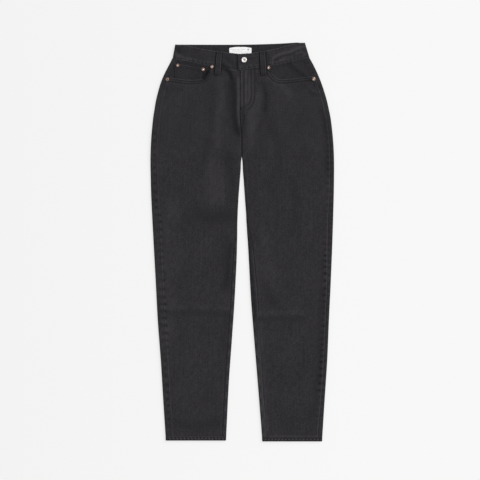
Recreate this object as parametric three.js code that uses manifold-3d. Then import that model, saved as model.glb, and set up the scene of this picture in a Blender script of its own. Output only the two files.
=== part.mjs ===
// Tapered five-pocket jeans lying flat on their back, waist up the page.
// Millimetres: X to the right of the page, Y up the page to the waist, Z up from the surface.
// Right and left in the names are the wearer's, so the right leg lies at negative X.
import * as THREE from 'three';
import Module from 'manifold-3d';

// Cloth and layers
const WALL = 1.3;
const GAP = 0.3;
const EDGE_RADIUS = 2.8;
const LEG_HEIGHT = 2 * EDGE_RADIUS;
const SEAT_LIFT = 1.3;
const PATCH_THICK = 1;
const BAND_THICK = 2.2;
const LOOP_THICK = 1.5;
const HEM_THICK = 2.1;

// Heights along the garment
const SEAT_LIFT_FROM = 190;
const SEAT_LIFT_TO = 222;
const FORK = 208;
const SLIT_TOP = 286;
const SLIT_FULL = 228;
const BACK_CURL_TOP = 240;
const HEM_TALL = 10.5;
const YOKE_AT_SIDE = 422;
const YOKE_AT_BACK = 385;
const YOKE_HALF_WIDE = 185;
const FACING_END = 392;

// Waistband lap, fly and button
const OVER_END = -10;
const UNDER_END = 24;
const LAP_FALL_FROM = 28;
const LAP_FALL_TO = 78;
const FLY_UNDERLAP = 8;
const FLY_END = 335;
const FLY_FADE = 24;
const UNDERLAP_SINK = 0.55;
const OVERLAP_RISE = 1.25;
const FLY_STEP = { right: { from: -8, to: -1 }, left: { from: 10, to: 26 } };
const BUTTON = { x: 4.9, y: 455.6, radius: 7.75, shank: 2.5, head: 3.1 };
const BUTTONHOLE = { eye: 3.3, end: 24, wide: 3 };
const BUTTON_SIDES = 24;
const ZIP = { x: 5, y: 378, wide: 22, tall: 96, thick: 1.1, z: 3.65 };
const RIVET = { radius: 4.75, tall: 1.6 };
const RIVET_SIDES = 12;

// Half widths of the two legs from the page's centre line, at heights down the garment.
const OUTSIDE = [
  { y: 460, right: 173.8, left: 167.5 },
  { y: 444.6, right: 181.1, left: 176.1 },
  { y: 429.6, right: 189.1, left: 183.6 },
  { y: 414.6, right: 196.4, left: 190.4 },
  { y: 399.6, right: 202.6, left: 196.4 },
  { y: 384.6, right: 207.4, left: 201.8 },
  { y: 354.6, right: 215.1, left: 210.9 },
  { y: 329.6, right: 219.4, left: 216.6 },
  { y: 304.6, right: 223.1, left: 221.4 },
  { y: 254.6, right: 227.6, left: 226.9 },
  { y: 204.6, right: 229.3, left: 229.3 },
  { y: 154.6, right: 228.6, left: 229.3 },
  { y: 104.6, right: 227.1, left: 228.4 },
  { y: 4.6, right: 221.9, left: 225.4 },
  { y: -95.4, right: 216.4, left: 221.4 },
  { y: -195.4, right: 211.1, left: 216.6 },
  { y: -295.4, right: 203.6, left: 212.4 },
  { y: -395.4, right: 197.4, left: 205.9 },
  { y: -497.9, right: 190.8, left: 199.4 },
];

// Inner edges of the legs, from the centre line: below the fork they bound the gap between the legs.
const INSIDE = [
  { y: 232, right: 1.55, left: -1.25 },
  { y: 214, right: 1.6, left: -1.2 },
  { y: 208, right: 2.1, left: -0.7 },
  { y: 200, right: 3.1, left: 0.5 },
  { y: 179.6, right: 3.9, left: 1.4 },
  { y: 154.6, right: 5.9, left: 3.4 },
  { y: 104.6, right: 9.6, left: 6.9 },
  { y: 54.6, right: 11.9, left: 10.6 },
  { y: -45.4, right: 14.4, left: 16.4 },
  { y: -145.4, right: 19.1, left: 21.9 },
  { y: -245.4, right: 25.9, left: 29.9 },
  { y: -345.4, right: 33.1, left: 38.1 },
  { y: -445.4, right: 38.1, left: 46.1 },
  { y: -497.9, right: 40.6, left: 50 },
];

// Where the left front's edge runs: the fold of the fly, then the front rise seam.
const FLY_LINE = [
  { y: 432, x: -4.1 },
  { y: 337, x: -3.4 },
  { y: 321, x: -5.8 },
  { y: 282, x: -3.2 },
  { y: 262, x: -1.6 },
  { y: 232, x: -1.4 },
];

// How far the outseam lies in from the leg's outer edge.
const OUTSEAM_INSET = [
  { y: 460, right: 10.5, left: 10.5 },
  { y: 400, right: 12.5, left: 10.5 },
  { y: 194.6, right: 13.8, left: 9.5 },
  { y: 129.6, right: 15.8, left: 10.5 },
  { y: 54.6, right: 16.2, left: 12.2 },
  { y: -20.4, right: 16.2, left: 11.5 },
  { y: -85.4, right: 16, left: 9 },
  { y: -265.4, right: 16, left: 8.3 },
  { y: -365.4, right: 16, left: 8.8 },
  { y: -433, right: 16, left: 10 },
  { y: -497.9, right: 16, left: 12.5 },
];

// How far the inseam lies in from the leg's inner edge, up on the front; nothing where it is on the side.
const INSEAM_INSET = [
  { y: 208, right: 0, left: 0 },
  { y: 70, right: 0, left: 0 },
  { y: 30, right: 0.4, left: 4 },
  { y: 15, right: 2, left: 8.5 },
  { y: -15.4, right: 7.3, left: 12 },
  { y: -83, right: 9.7, left: 15 },
  { y: -123, right: 10, left: 17 },
  { y: -232, right: 10, left: 15 },
  { y: -345, right: 10, left: 12.6 },
  { y: -415, right: 10, left: 12.3 },
  { y: -497.9, right: 10, left: 14 },
];

// Seam between waistband and legs, and the waistband's top edge, in front and behind.
const BAND_LOW_FRONT = [
  { x: -176, y: 457 },
  { x: -136, y: 449.6 },
  { x: -90, y: 440.6 },
  { x: -50, y: 436 },
  { x: -12, y: 427.6 },
  { x: 10, y: 429.4 },
  { x: 60, y: 436.8 },
  { x: 98, y: 443.2 },
  { x: 144, y: 454.4 },
  { x: 170, y: 458.6 },
];
const BAND_TOP_RIGHT = [
  { x: -168, y: 491.1 },
  { x: -139, y: 489.6 },
  { x: -101.6, y: 481.4 },
  { x: -61.6, y: 475.6 },
  { x: -19, y: 470.2 },
  { x: 24, y: 465 },
];
const BAND_TOP_LEFT = [
  { x: -10, y: 468.4 },
  { x: 19, y: 470.1 },
  { x: 50, y: 474.8 },
  { x: 78.4, y: 480.8 },
  { x: 118.4, y: 490.9 },
  { x: 157, y: 496.6 },
];
const BAND_LOW_BACK = [
  { x: -176, y: 457 },
  { x: -90, y: 451.5 },
  { x: 0, y: 450 },
  { x: 90, y: 453 },
  { x: 170, y: 458.6 },
];
const BAND_TOP_BACK = [
  { x: -168, y: 491.1 },
  { x: 0, y: 491.2 },
  { x: 80, y: 493.6 },
  { x: 143, y: 497.2 },
  { x: 157, y: 496.6 },
];
const BAND_SIDE = { right: { low: 174, top: 167.4 }, left: { low: 168.2, top: 156.6 } };

// Folds pressed into the upper side: a path, how wide it is and how far it rises or, below zero, sinks.
const FOLDS = [
  {
    path: [[-48, 439], [-33, 419], [-25, 396], [-22, 366], [-22, 337], [-20, 307], [-15, 278], [-11, 266]],
    width: 6,
    rise: -2.1,
  },
  { path: [[-10, 405], [-10, 366], [-11, 320], [-9, 285]], width: 4, rise: 0.7 },
  { path: [[-56, 415], [-50, 366], [-46, 320]], width: 9, rise: 0.5 },
  { path: [[50, 395], [57, 368], [59, 350], [54, 328]], width: 6, rise: -1.4 },
  { path: [[44, 378], [43, 345], [32, 310], [22, 280]], width: 8, rise: 0.6 },
  { path: [[113, 443], [144, 419], [168, 401], [189, 386]], width: 6, rise: -0.9 },
  { path: [[150, 389], [178, 366], [196, 362]], width: 5, rise: -0.7 },
  { path: [[160, 376], [186, 372]], width: 5, rise: 0.4 },
  { path: [[192, 331], [206, 296], [212, 240], [209, 180]], width: 6, rise: -1 },
  { path: [[-190, 381], [-153, 379]], width: 6, rise: -0.6 },
  { path: [[-80, 390], [-78, 330], [-84, 280]], width: 8, rise: -0.5 },
  { path: [[-90, 250], [-96, 200], [-108, 170]], width: 8, rise: -0.6 },
  { path: [[-75, 190], [-68, 150], [-62, 105]], width: 22, rise: 0.7 },
  { path: [[-33, 215], [-30, 150], [-28, 105]], width: 9, rise: -0.9 },
  { path: [[-105, 72], [-60, 66], [-20, 60]], width: 17, rise: -0.8 },
  { path: [[-148, 130], [-144, 80], [-138, 50]], width: 9, rise: -0.5 },
  { path: [[60, 305], [86, 250], [92, 180]], width: 11, rise: -0.5 },
  { path: [[52, 150], [74, 122]], width: 10, rise: -0.5 },
  { path: [[122, 155], [134, 110], [124, 20]], width: 8, rise: -0.5 },
  { path: [[52, 30], [62, -40], [72, -80]], width: 10, rise: 0.4 },
  { path: [[56, -112], [74, -150]], width: 10, rise: -0.8 },
  { path: [[-190, -180], [-110, -178], [-36, -184]], width: 6, rise: -0.7 },
  { path: [[-190, -163], [-36, -166]], width: 7, rise: 0.3 },
  { path: [[40, -180], [150, -178]], width: 7, rise: 0.5 },
  { path: [[40, -194], [150, -192]], width: 6, rise: -0.6 },
  { path: [[-42, 10], [-40, -60], [-44, -120]], width: 9, rise: -0.6 },
  { path: [[-42, -205], [-48, -260]], width: 8, rise: -0.5 },
  { path: [[188, -345], [180, -390], [172, -432]], width: 7, rise: -0.6 },
  { path: [[-170, -450], [-110, -462], [-62, -448]], width: 12, rise: -0.5 },
  { path: [[78, 459], [101, 469], [118, 472], [134, 480], [152, 487]], width: 5, rise: 0.7 },
];
const FOLD_EDGE_FADE = 11;
const CUT_BEYOND = 44;

// Pocket mouths, coin pocket and label, as outlines on the page.
const SCOOP_RIGHT = [
  [-79.9, 436], [-82, 426], [-84.5, 418], [-91, 410.5], [-101, 405.8], [-116, 403.8], [-136, 403.8],
  [-152, 405.5], [-168, 408], [-182, 409.6],
];
const SCOOP_LEFT = [
  [68.4, 436], [69.5, 426], [75, 417.6], [84.5, 408.6], [96, 405], [112, 405.6], [134, 408], [156, 411],
  [174, 412.4],
];
const COIN_POCKET = {
  topLeft: [-171, 445.6],
  topRight: [-90, 430.8],
  lowLeft: [-168, 393],
  lowRight: [-94, 393],
};
const FACING_INNER_RIGHT = -66;
const FACING_INNER_LEFT = 57;
const FACING_LEFT_LOWER = 0.4;
const FACING_COLUMNS = 14;
const FACING_ROWS = 7;
const COIN_COLUMNS = 6;
const COIN_ROWS = 3;
const LABEL = { left: -32.4, right: 22.9, bottom: 462, topEnds: 483.6, topMiddle: 489.2 };
const LABEL_COLUMNS = 8;
const BACK_POCKET = { x: 104, top: 372, tall: 150, wide: 142, bottomWide: 118, point: 16, tilt: 0.05 };
const RIVETS = [
  { name: 'rivet_coin_outer', x: -161.6, y: 440.6, layer: 'coin' },
  { name: 'rivet_coin_inner', x: -98.1, y: 431.1, layer: 'coin' },
  { name: 'rivet_right_inner', x: -75.9, y: 437.4, layer: 'front' },
  { name: 'rivet_right_outer', x: -186.6, y: 406.1, layer: 'front' },
  { name: 'rivet_left_inner', x: 65.4, y: 435.1, layer: 'front' },
  { name: 'rivet_left_outer', x: 178.6, y: 407.4, layer: 'front' },
];
const FRONT_LOOPS = [
  { name: 'belt_loop_front_right', top: [-57.1, 473.4], bottom: [-61.6, 416.1] },
  { name: 'belt_loop_front_left', top: [49.9, 473.9], bottom: [53.6, 415.4] },
];
const BACK_LOOPS = [
  { name: 'belt_loop_back_right', x: -112 },
  { name: 'belt_loop_back', x: 0 },
  { name: 'belt_loop_back_left', x: 110 },
];
const LOOP_WIDE = 13;
const LOOP_TALL = 54;
const LOOP_COLUMNS = 4;

// Rows of a front loop: distances from its top end, from the waistband's seam and from its lower end
const LOOP_ROWS = { belowTop: 12, seam: [12, 3, -4, -11], aboveEnd: 3 };
const SEAM_REACH = 4;

// Rows down the legs, shared by all panels, and columns across them
const ROWS_FROM = 440;
const ROW_MARGIN = 5;
const ROW_ZONES = [
  { to: 200, step: 16 },
  { to: -150, step: 32 },
  { to: -212, step: 15 },
  { to: -500, step: 44 },
];
const FRONT_COLUMNS = 18;
const SIDE_COLUMNS = 7;
const FLOOR_COLUMNS = 4;
const HEM_OVER_COLUMNS = [4, 8, 4];
const HEM_UNDER_COLUMNS = [4, 4, 4];
const ARC_STEPS = 12;
const FLAT_ANGLE = 0.02;
const FLAT_STEPS = 60;

// Level of each panel's end rows before they bend to their seams, and the length over which they bend
const FRONT_ROWS = { top: 440, bend: 100 };
const BACK_ROWS = { top: 395, bend: 90 };
const YOKE_ROWS = { top: 455, bottom: 400, bend: 50 };

// Waistband strip: stations along it, where it starts to turn and to lean in, and where its folds fade out
const BAND_FRONT_STATIONS = 16;
const BAND_TURN_STATIONS = 8;
const BAND_BACK_STATIONS = 12;
const BAND_TURN_FROM = 3;
const BAND_LEAN = 60;
const BAND_FADE_FROM = 120;
const BAND_FADE_TO = 150;
const BAND_ROWS = [0, 0.33, 0.67, 1];

const SIDES = {
  right: { name: 'right', sign: -1, hemLine: -495.1 },
  left: { name: 'left', sign: 1, hemLine: -497.9 },
};

const wasm = await Module();
wasm.setup();

/** A number from 0 to 1 that eases from one value of t to another. */
function ease(t, from, to) {
  const share = THREE.MathUtils.clamp((t - from) / (to - from), 0, 1);
  return share * share * (3 - 2 * share);
}

/** Reads a table smoothly: key is the column that grows or falls down the rows, name the one wanted. */
function read(rows, key, name, at) {
  const falling = rows[0][key] > rows[rows.length - 1][key];
  const ordered = falling ? [...rows].reverse() : rows;
  const last = ordered.length - 1;
  const low = ordered[0][key];
  const high = ordered[last][key];
  const place = THREE.MathUtils.clamp(at, low, high);
  let index = 0;
  while (index < last - 1 && ordered[index + 1][key] < place) index += 1;
  const slope = (i) => {
    const before = ordered[Math.max(i - 1, 0)];
    const after = ordered[Math.min(i + 1, last)];
    return (after[name] - before[name]) / (after[key] - before[key]);
  };
  const start = ordered[index];
  const end = ordered[index + 1];
  const span = end[key] - start[key];
  const t = (place - start[key]) / span;
  const rising = t * t * (3 - 2 * t);
  const pull = slope(index) * t * (1 - t) * (1 - t) - slope(index + 1) * t * t * (1 - t);
  return start[name] * (1 - rising) + end[name] * rising + pull * span;
}

const outside = (side, y) => read(OUTSIDE, 'y', side.name, y);
const outseamInset = (side, y) => read(OUTSEAM_INSET, 'y', side.name, y);
const bandLowFront = (x) => read(BAND_LOW_FRONT, 'x', 'y', x);
const bandLowBack = (x) => read(BAND_LOW_BACK, 'x', 'y', x);

/** Height of the seam between a yoke and its back panel. */
function yokeSeam(x) {
  const share = Math.min(Math.abs(x) / YOKE_HALF_WIDE, 1);
  return YOKE_AT_BACK + (YOKE_AT_SIDE - YOKE_AT_BACK) * share;
}

/** Height of the cloth's underside: flat on the surface, raised over the back pockets and loops. */
function underside(y) {
  return SEAT_LIFT * ease(y, SEAT_LIFT_FROM, SEAT_LIFT_TO);
}

/** Inner edge of a leg's back, from the centre line. */
function backInside(side, y) {
  return read(INSIDE, 'y', side.name, y);
}

/** Inner edge of a leg's front: the fly and rise seam above the fork, with the right front's underlap. */
function frontInside(side, y) {
  const line = read(FLY_LINE, 'y', 'x', y);
  const underlap = side.sign < 0 ? FLY_UNDERLAP * ease(y, FLY_END, FLY_END + FLY_FADE / 2) : 0;
  const seam = side.sign * line + GAP / 2 - underlap;
  const share = ease(y, SLIT_FULL, BACK_CURL_TOP);
  return backInside(side, y) * (1 - share) + seam * share;
}

/** Shortest distance on the page from a point to a path. */
function distanceTo(path, x, y) {
  let nearest = Infinity;
  for (let i = 0; i + 1 < path.length; i += 1) {
    const [x0, y0] = path[i];
    const [x1, y1] = path[i + 1];
    const along = (x1 - x0) ** 2 + (y1 - y0) ** 2;
    const t = THREE.MathUtils.clamp(((x - x0) * (x1 - x0) + (y - y0) * (y1 - y0)) / along, 0, 1);
    nearest = Math.min(nearest, Math.hypot(x - x0 - t * (x1 - x0), y - y0 - t * (y1 - y0)));
  }
  return nearest;
}

/** How far the folds raise or sink the upper side at a place on the page. */
function relief(x, y) {
  let rise = 0;
  for (const fold of FOLDS) {
    rise += fold.rise * Math.exp(-((distanceTo(fold.path, x, y) / fold.width) ** 2));
  }
  return rise;
}

/** The left front rises over the right front's underlap at the fly, which sinks a little. */
function flyStep(side, x, y) {
  const along = ease(y, FLY_END - FLY_FADE, FLY_END - FLY_FADE / 3);
  const line = read(FLY_LINE, 'y', 'x', y);
  const { right, left } = FLY_STEP;
  if (side.sign < 0) return -UNDERLAP_SINK * along * ease(x, line + right.from, line + right.to);
  return OVERLAP_RISE * along * ease(x, line + left.to, line + left.from);
}

/** Height of a front panel's outer face away from its rounded edges. */
function frontHeight(side, x, y) {
  return underside(y) + LEG_HEIGHT + relief(x, y) + flyStep(side, x, y);
}

/** Points along a circle's arc as [distance in from the outer edge, height]. */
function arcPoints(centre, radius, from, to) {
  const points = [];
  for (let i = 0; i <= ARC_STEPS; i += 1) {
    const angle = from + ((to - from) * i) / ARC_STEPS;
    points.push([centre[0] + radius * Math.cos(angle), centre[1] + radius * Math.sin(angle)]);
  }
  return points;
}

/** The bend at a panel's inner end: the last quarter's length, bent by the given angle. */
function curl(width, level, angle, up) {
  const length = (EDGE_RADIUS * Math.PI) / 2;
  if (angle < FLAT_ANGLE) return [[width - length, level], [width, level]];
  const radius = length / angle;
  const start = width - radius * Math.sin(angle);
  const points = [];
  for (let i = 0; i <= ARC_STEPS; i += 1) {
    const turn = (angle * i) / ARC_STEPS;
    points.push([start + radius * Math.sin(turn), level + up * radius * (1 - Math.cos(turn))]);
  }
  return points;
}

/** A path in a leg's section, which can be read at any length along it. */
class SectionPath {
  constructor(points, turn) {
    this.points = points;
    this.turn = turn;
    this.lengths = [0];
    for (let i = 1; i < points.length; i += 1) {
      const step = Math.hypot(points[i][0] - points[i - 1][0], points[i][1] - points[i - 1][1]);
      this.lengths.push(this.lengths[i - 1] + step);
    }
    this.total = this.lengths[this.lengths.length - 1];
  }

  at(length) {
    const place = THREE.MathUtils.clamp(length, 0, this.total);
    let i = 0;
    while (i < this.points.length - 2 && this.lengths[i + 1] < place) i += 1;
    const t = (place - this.lengths[i]) / Math.max(this.lengths[i + 1] - this.lengths[i], 1e-9);
    const [a, b] = [this.points[i], this.points[i + 1]];
    return [a[0] + (b[0] - a[0]) * t, a[1] + (b[1] - a[1]) * t];
  }

  /** The point at a length along the path with the direction to the inside of the leg. */
  withNormal(length) {
    const place = THREE.MathUtils.clamp(length, 0, this.total);
    const reach = Math.max(0.05, Math.min(0.6, place, this.total - place));
    const before = this.at(place - reach);
    const after = this.at(place + reach);
    const run = [after[0] - before[0], after[1] - before[1]];
    const size = Math.hypot(run[0], run[1]);
    const [inward, height] = this.at(place);
    return { inward, height, normal: [(this.turn * run[1]) / size, (-this.turn * run[0]) / size] };
  }
}

/** Upper half of a leg's section, from its outer edge over the front to the inner end. */
function upperPath(side, y) {
  const outer = outside(side, y);
  const width = outer - frontInside(side, y);
  const level = underside(y) + LEG_HEIGHT;
  const bend = (Math.PI / 2) * (1 - ease(y, SLIT_FULL, SLIT_TOP));
  const start = arcPoints([EDGE_RADIUS, level - EDGE_RADIUS], EDGE_RADIUS, Math.PI, Math.PI / 2);
  const end = curl(width, level, bend, -1);
  const flat = [];
  for (let i = 1; i < FLAT_STEPS; i += 1) {
    flat.push([EDGE_RADIUS + ((end[0][0] - EDGE_RADIUS) * i) / FLAT_STEPS, level]);
  }
  const open = ease(y, SLIT_FULL, SLIT_TOP);
  const points = [...start, ...flat, ...end].map(([inward, height]) => {
    const fromInside = ease(width - inward, 0, FOLD_EDGE_FADE);
    const share = ease(inward, 0, FOLD_EDGE_FADE) * (fromInside + (1 - fromInside) * open);
    const x = side.sign * (outer - inward);
    return [inward, height + share * (relief(x, y) + flyStep(side, x, y))];
  });
  return new SectionPath(points, 1);
}

/** Lower half of a leg's section, from its outer edge under the back to the inner end. */
function lowerPath(side, y) {
  const width = outside(side, y) - backInside(side, y);
  const level = underside(y);
  const bend = (Math.PI / 2) * (1 - ease(y, FORK + 4, BACK_CURL_TOP));
  const start = arcPoints([EDGE_RADIUS, level + EDGE_RADIUS], EDGE_RADIUS, Math.PI, 1.5 * Math.PI);
  return new SectionPath([...start, ...curl(width, level, bend, 1)], -1);
}

/** Length along a rounded edge and the flat beyond it, for a seam that lies so far in from the edge. */
function lengthToSeam(inset) {
  const quarter = (EDGE_RADIUS * Math.PI) / 2;
  if (inset >= EDGE_RADIUS) return quarter + inset - EDGE_RADIUS;
  return EDGE_RADIUS * Math.acos(1 - Math.max(inset, 0) / EDGE_RADIUS);
}

/** Inseam's length up from the inner edge of a leg, nothing above the fork. */
function inseamLength(side, y) {
  return lengthToSeam(read(INSEAM_INSET, 'y', side.name, Math.min(y, FORK)));
}

/** Positions across a panel: each pair of marks is split evenly into its number of columns. */
function splitEvenly(marks, counts) {
  const places = [marks[0]];
  counts.forEach((count, part) => {
    for (let i = 1; i <= count; i += 1) {
      places.push(marks[part] + ((marks[part + 1] - marks[part]) * i) / count);
    }
  });
  return places;
}

/** One row of a front panel from the outseam to the fly, rise seam or inseam. */
function frontRow(side, y) {
  const path = upperPath(side, y);
  const from = lengthToSeam(outseamInset(side, y)) + GAP / 2;
  const to = path.total - inseamLength(side, y) - GAP / 2;
  return splitEvenly([from, to], [FRONT_COLUMNS]).map((place) => path.withNormal(place));
}

/** One row of a back panel: outseam, round the outer edge, along the floor, and up to the inseam. */
function backRow(side, y) {
  const upper = upperPath(side, y);
  const lower = lowerPath(side, y);
  const overEdge = lengthToSeam(outseamInset(side, y)) - GAP / 2;
  const quarter = (EDGE_RADIUS * Math.PI) / 2;
  const upInside = inseamLength(side, y) - GAP / 2;
  const full = overEdge + lower.total + upInside;
  const marks = [0, overEdge + quarter, overEdge + lower.total - quarter, full];
  return splitEvenly(marks, [SIDE_COLUMNS, FLOOR_COLUMNS, SIDE_COLUMNS]).map((place) => {
    if (place < overEdge) return upper.withNormal(overEdge - place);
    if (place <= overEdge + lower.total) return lower.withNormal(place - overEdge);
    return upper.withNormal(upper.total - (place - overEdge - lower.total));
  });
}

/** A closed row round the whole leg, for the hem. */
function wholeRow(side, y) {
  const upper = upperPath(side, y);
  const lower = lowerPath(side, y);
  const quarter = (EDGE_RADIUS * Math.PI) / 2;
  const over = splitEvenly([0, quarter, upper.total - quarter, upper.total], HEM_OVER_COLUMNS);
  const under = splitEvenly([lower.total, lower.total - quarter, quarter, 0], HEM_UNDER_COLUMNS);
  const upperPoints = over.slice(0, -1).map((place) => upper.withNormal(place));
  const lowerPoints = under.slice(0, -1).map((place) => lower.withNormal(place));
  return [...upperPoints, ...lowerPoints];
}

/** Puts a section point on the page, moved in from the outer face by a depth. */
function placed(side, y, point, depth) {
  const inward = point.inward + point.normal[0] * depth;
  return [side.sign * (outside(side, y) - inward), y, point.height + point.normal[1] * depth];
}

/** Heights of the rows between a top and a bottom, closer where the cloth bends more. */
function levels(top, bottom) {
  const shared = [];
  let height = ROWS_FROM;
  for (const zone of ROW_ZONES) {
    for (; height > zone.to; height -= zone.step) shared.push(height);
  }
  return [top, ...shared.filter((y) => y < top - ROW_MARGIN && y > bottom + ROW_MARGIN), bottom];
}

/** Builds a panel's two faces: rows at the levels, bent at the ends to the seams above and below. */
function panelGrid({ side, row, top, bottom, topSeam, bottomSeam, bendOver, thick }) {
  const outer = [];
  const inner = [];
  for (const level of levels(top, bottom)) {
    const nearTop = Math.max(0, 1 - (top - level) / bendOver);
    const nearBottom = Math.max(0, 1 - (level - bottom) / bendOver);
    const points = row(side, level);
    const moved = points.map((first, column) => {
      let y = level;
      let point = first;
      for (let tries = 0; tries < 4; tries += 1) {
        const x = placed(side, y, point, 0)[0];
        const rise = (topSeam(x, column) - top) * nearTop;
        const fall = bottomSeam ? (bottomSeam(x) - bottom) * nearBottom : 0;
        y = level + rise + fall;
        point = row(side, y)[column];
      }
      return { y, point };
    });
    outer.push(moved.map(({ y, point }) => placed(side, y, point, 0)));
    inner.push(moved.map(({ y, point }) => placed(side, y, point, thick)));
  }
  return { outer, inner };
}

/** Closed mesh between two grids of the same size; round ones join their last column to the first. */
function slab({ outer, inner }, round = false) {
  const rows = outer.length;
  const columns = outer[0].length;
  const positions = [...outer.flat(), ...inner.flat()].flat();
  const index = [];
  const at = (row, column, face) => face * rows * columns + row * columns + (column % columns);
  const quad = (a, b, c, d) => index.push(a, b, c, a, c, d);
  const lastColumn = round ? columns : columns - 1;
  for (let row = 0; row + 1 < rows; row += 1) {
    for (let column = 0; column < lastColumn; column += 1) {
      const next = column + 1;
      quad(at(row, column, 0), at(row + 1, column, 0), at(row + 1, next, 0), at(row, next, 0));
      quad(at(row, column, 1), at(row, next, 1), at(row + 1, next, 1), at(row + 1, column, 1));
    }
  }
  for (let column = 0; column < lastColumn; column += 1) {
    const next = column + 1;
    quad(at(0, column, 0), at(0, next, 0), at(0, next, 1), at(0, column, 1));
    quad(at(rows - 1, column, 0), at(rows - 1, column, 1), at(rows - 1, next, 1), at(rows - 1, next, 0));
  }
  if (!round) {
    for (let row = 0; row + 1 < rows; row += 1) {
      quad(at(row, 0, 0), at(row, 0, 1), at(row + 1, 0, 1), at(row + 1, 0, 0));
      const end = columns - 1;
      quad(at(row, end, 0), at(row + 1, end, 0), at(row + 1, end, 1), at(row, end, 1));
    }
  }
  return outwards(positions, index);
}

/** Geometry from points and triangles, turned so that its faces look out. */
function outwards(positions, index) {
  const corner = (i) => new THREE.Vector3().fromArray(positions, index[i] * 3);
  let volume = 0;
  for (let i = 0; i < index.length; i += 3) {
    volume += corner(i).dot(corner(i + 1).cross(corner(i + 2)));
  }
  const ordered = volume > 0 ? index : [...index].reverse();
  const geometry = new THREE.BufferGeometry();
  geometry.setAttribute('position', new THREE.Float32BufferAttribute(positions, 3));
  geometry.setIndex(ordered);
  geometry.computeVertexNormals();
  return geometry;
}

/** A manifold solid from an indexed geometry with shared points. */
function solid(geometry) {
  const mesh = new wasm.Mesh({
    numProp: 3,
    vertProperties: new Float32Array(geometry.attributes.position.array),
    triVerts: new Uint32Array(geometry.index.array),
  });
  return new wasm.Manifold(mesh);
}

/** Geometry of a manifold solid. */
function geometryOf(manifold) {
  const mesh = manifold.getMesh();
  const geometry = new THREE.BufferGeometry();
  geometry.setAttribute('position', new THREE.Float32BufferAttribute(mesh.vertProperties, 3));
  geometry.setIndex([...mesh.triVerts]);
  geometry.computeVertexNormals();
  return geometry;
}

/** A prism over an outline on the page, between two heights. */
function prism(outline, low, high) {
  const section = new wasm.CrossSection([outline], 'Positive');
  return section.extrude(high - low).translate([0, 0, low]);
}

/** Turns an outline so that it runs against the clock. */
function counterClockwise(outline) {
  const shape = outline.map(([x, y]) => new THREE.Vector2(x, y));
  return THREE.ShapeUtils.isClockWise(shape) ? [...outline].reverse() : outline;
}

/** A front panel with its pocket mouth scooped out. */
function frontPanel(side, scoop) {
  const grid = panelGrid({
    side,
    row: frontRow,
    top: FRONT_ROWS.top,
    bottom: side.hemLine + HEM_TALL + GAP,
    topSeam: (x) => bandLowFront(x) - GAP,
    bendOver: FRONT_ROWS.bend,
    thick: WALL,
  });
  const first = scoop[0];
  const last = scoop[scoop.length - 1];
  const farX = last[0] + side.sign * CUT_BEYOND;
  const farY = first[1] + CUT_BEYOND;
  const beyond = [[farX, last[1] + 1], [farX, farY], [first[0], farY]];
  const cutter = prism(counterClockwise([...scoop, ...beyond]), -CUT_BEYOND, CUT_BEYOND);
  return geometryOf(solid(slab(grid)).subtract(cutter));
}

/** A back panel below its yoke. */
function backPanel(side) {
  return slab(panelGrid({
    side,
    row: backRow,
    top: BACK_ROWS.top,
    bottom: side.hemLine + HEM_TALL + GAP,
    topSeam: (x) => yokeSeam(x) - GAP / 2,
    bendOver: BACK_ROWS.bend,
    thick: WALL,
  }));
}

/** A yoke between the waistband and the back panel, round to the outseam. */
function yoke(side) {
  const onFront = (column) => column < SIDE_COLUMNS;
  return slab(panelGrid({
    side,
    row: backRow,
    top: YOKE_ROWS.top,
    bottom: YOKE_ROWS.bottom,
    topSeam: (x, column) => (onFront(column) ? bandLowFront(x) : bandLowBack(x)) - GAP,
    bottomSeam: (x) => yokeSeam(x) + GAP / 2,
    bendOver: YOKE_ROWS.bend,
    thick: WALL,
  }));
}

/** A turned hem round the whole leg. */
function hem(side) {
  const heights = [side.hemLine, side.hemLine + HEM_TALL / 2, side.hemLine + HEM_TALL];
  const rows = heights.map((y) => wholeRow(side, y).map((point) => ({ y, point })));
  const face = (depth) => rows.map((row) => row.map(({ y, point }) => placed(side, y, point, depth)));
  return slab({ outer: face(0), inner: face(HEM_THICK) }, true);
}

/** Height of the waistband's outer face in front. */
function bandHeight(x, over) {
  const low = SEAT_LIFT + BAND_THICK + GAP + PATCH_THICK + GAP + BAND_THICK;
  const lap = over ? (BAND_THICK + GAP) * (1 - ease(x, LAP_FALL_FROM, LAP_FALL_TO)) : 0;
  return low + lap;
}

/** Height of the waistband's upper edge behind. */
function bandTopBack(x) {
  return read(BAND_TOP_BACK, 'x', 'y', x);
}

/** Places spread evenly from one value to another, both kept. */
function evenly(from, to, count) {
  return Array.from({ length: count + 1 }, (_, i) => from + ((to - from) * i) / count);
}

/** Stations of the waistband along the front: the place of its edges, its height and inside direction. */
function bandFrontStations(from, to, over) {
  const topTable = over ? BAND_TOP_LEFT : BAND_TOP_RIGHT;
  return evenly(from, to, BAND_FRONT_STATIONS).map((x) => ({
    x,
    low: bandLowFront(x),
    top: read(topTable, 'x', 'y', x),
    z: bandHeight(x, over),
    inside: [0, -1],
    front: true,
  }));
}

/** Stations of the waistband along the back. */
function bandBackStations(from, to) {
  return evenly(from, to, BAND_BACK_STATIONS).map((x) => ({
    x,
    low: bandLowBack(x),
    top: bandTopBack(x),
    z: SEAT_LIFT,
    inside: [0, 1],
  }));
}

/** Stations of the waistband round one side of the waist, between two angles. */
function bandTurnStations(side, from, to) {
  const edge = BAND_SIDE[side.name];
  const radius = (bandHeight(LAP_FALL_TO, true) - SEAT_LIFT) / 2;
  return evenly(from, to, BAND_TURN_STATIONS).slice(1, -1).map((angle) => ({
    x: side.sign * (edge.low - radius + radius * Math.cos(angle)),
    low: bandLowFront(side.sign * edge.low),
    top: bandTopBack(side.sign * edge.top),
    z: SEAT_LIFT + radius + radius * Math.sin(angle),
    inside: [-side.sign * Math.cos(angle), -Math.sin(angle)],
  }));
}

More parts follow.
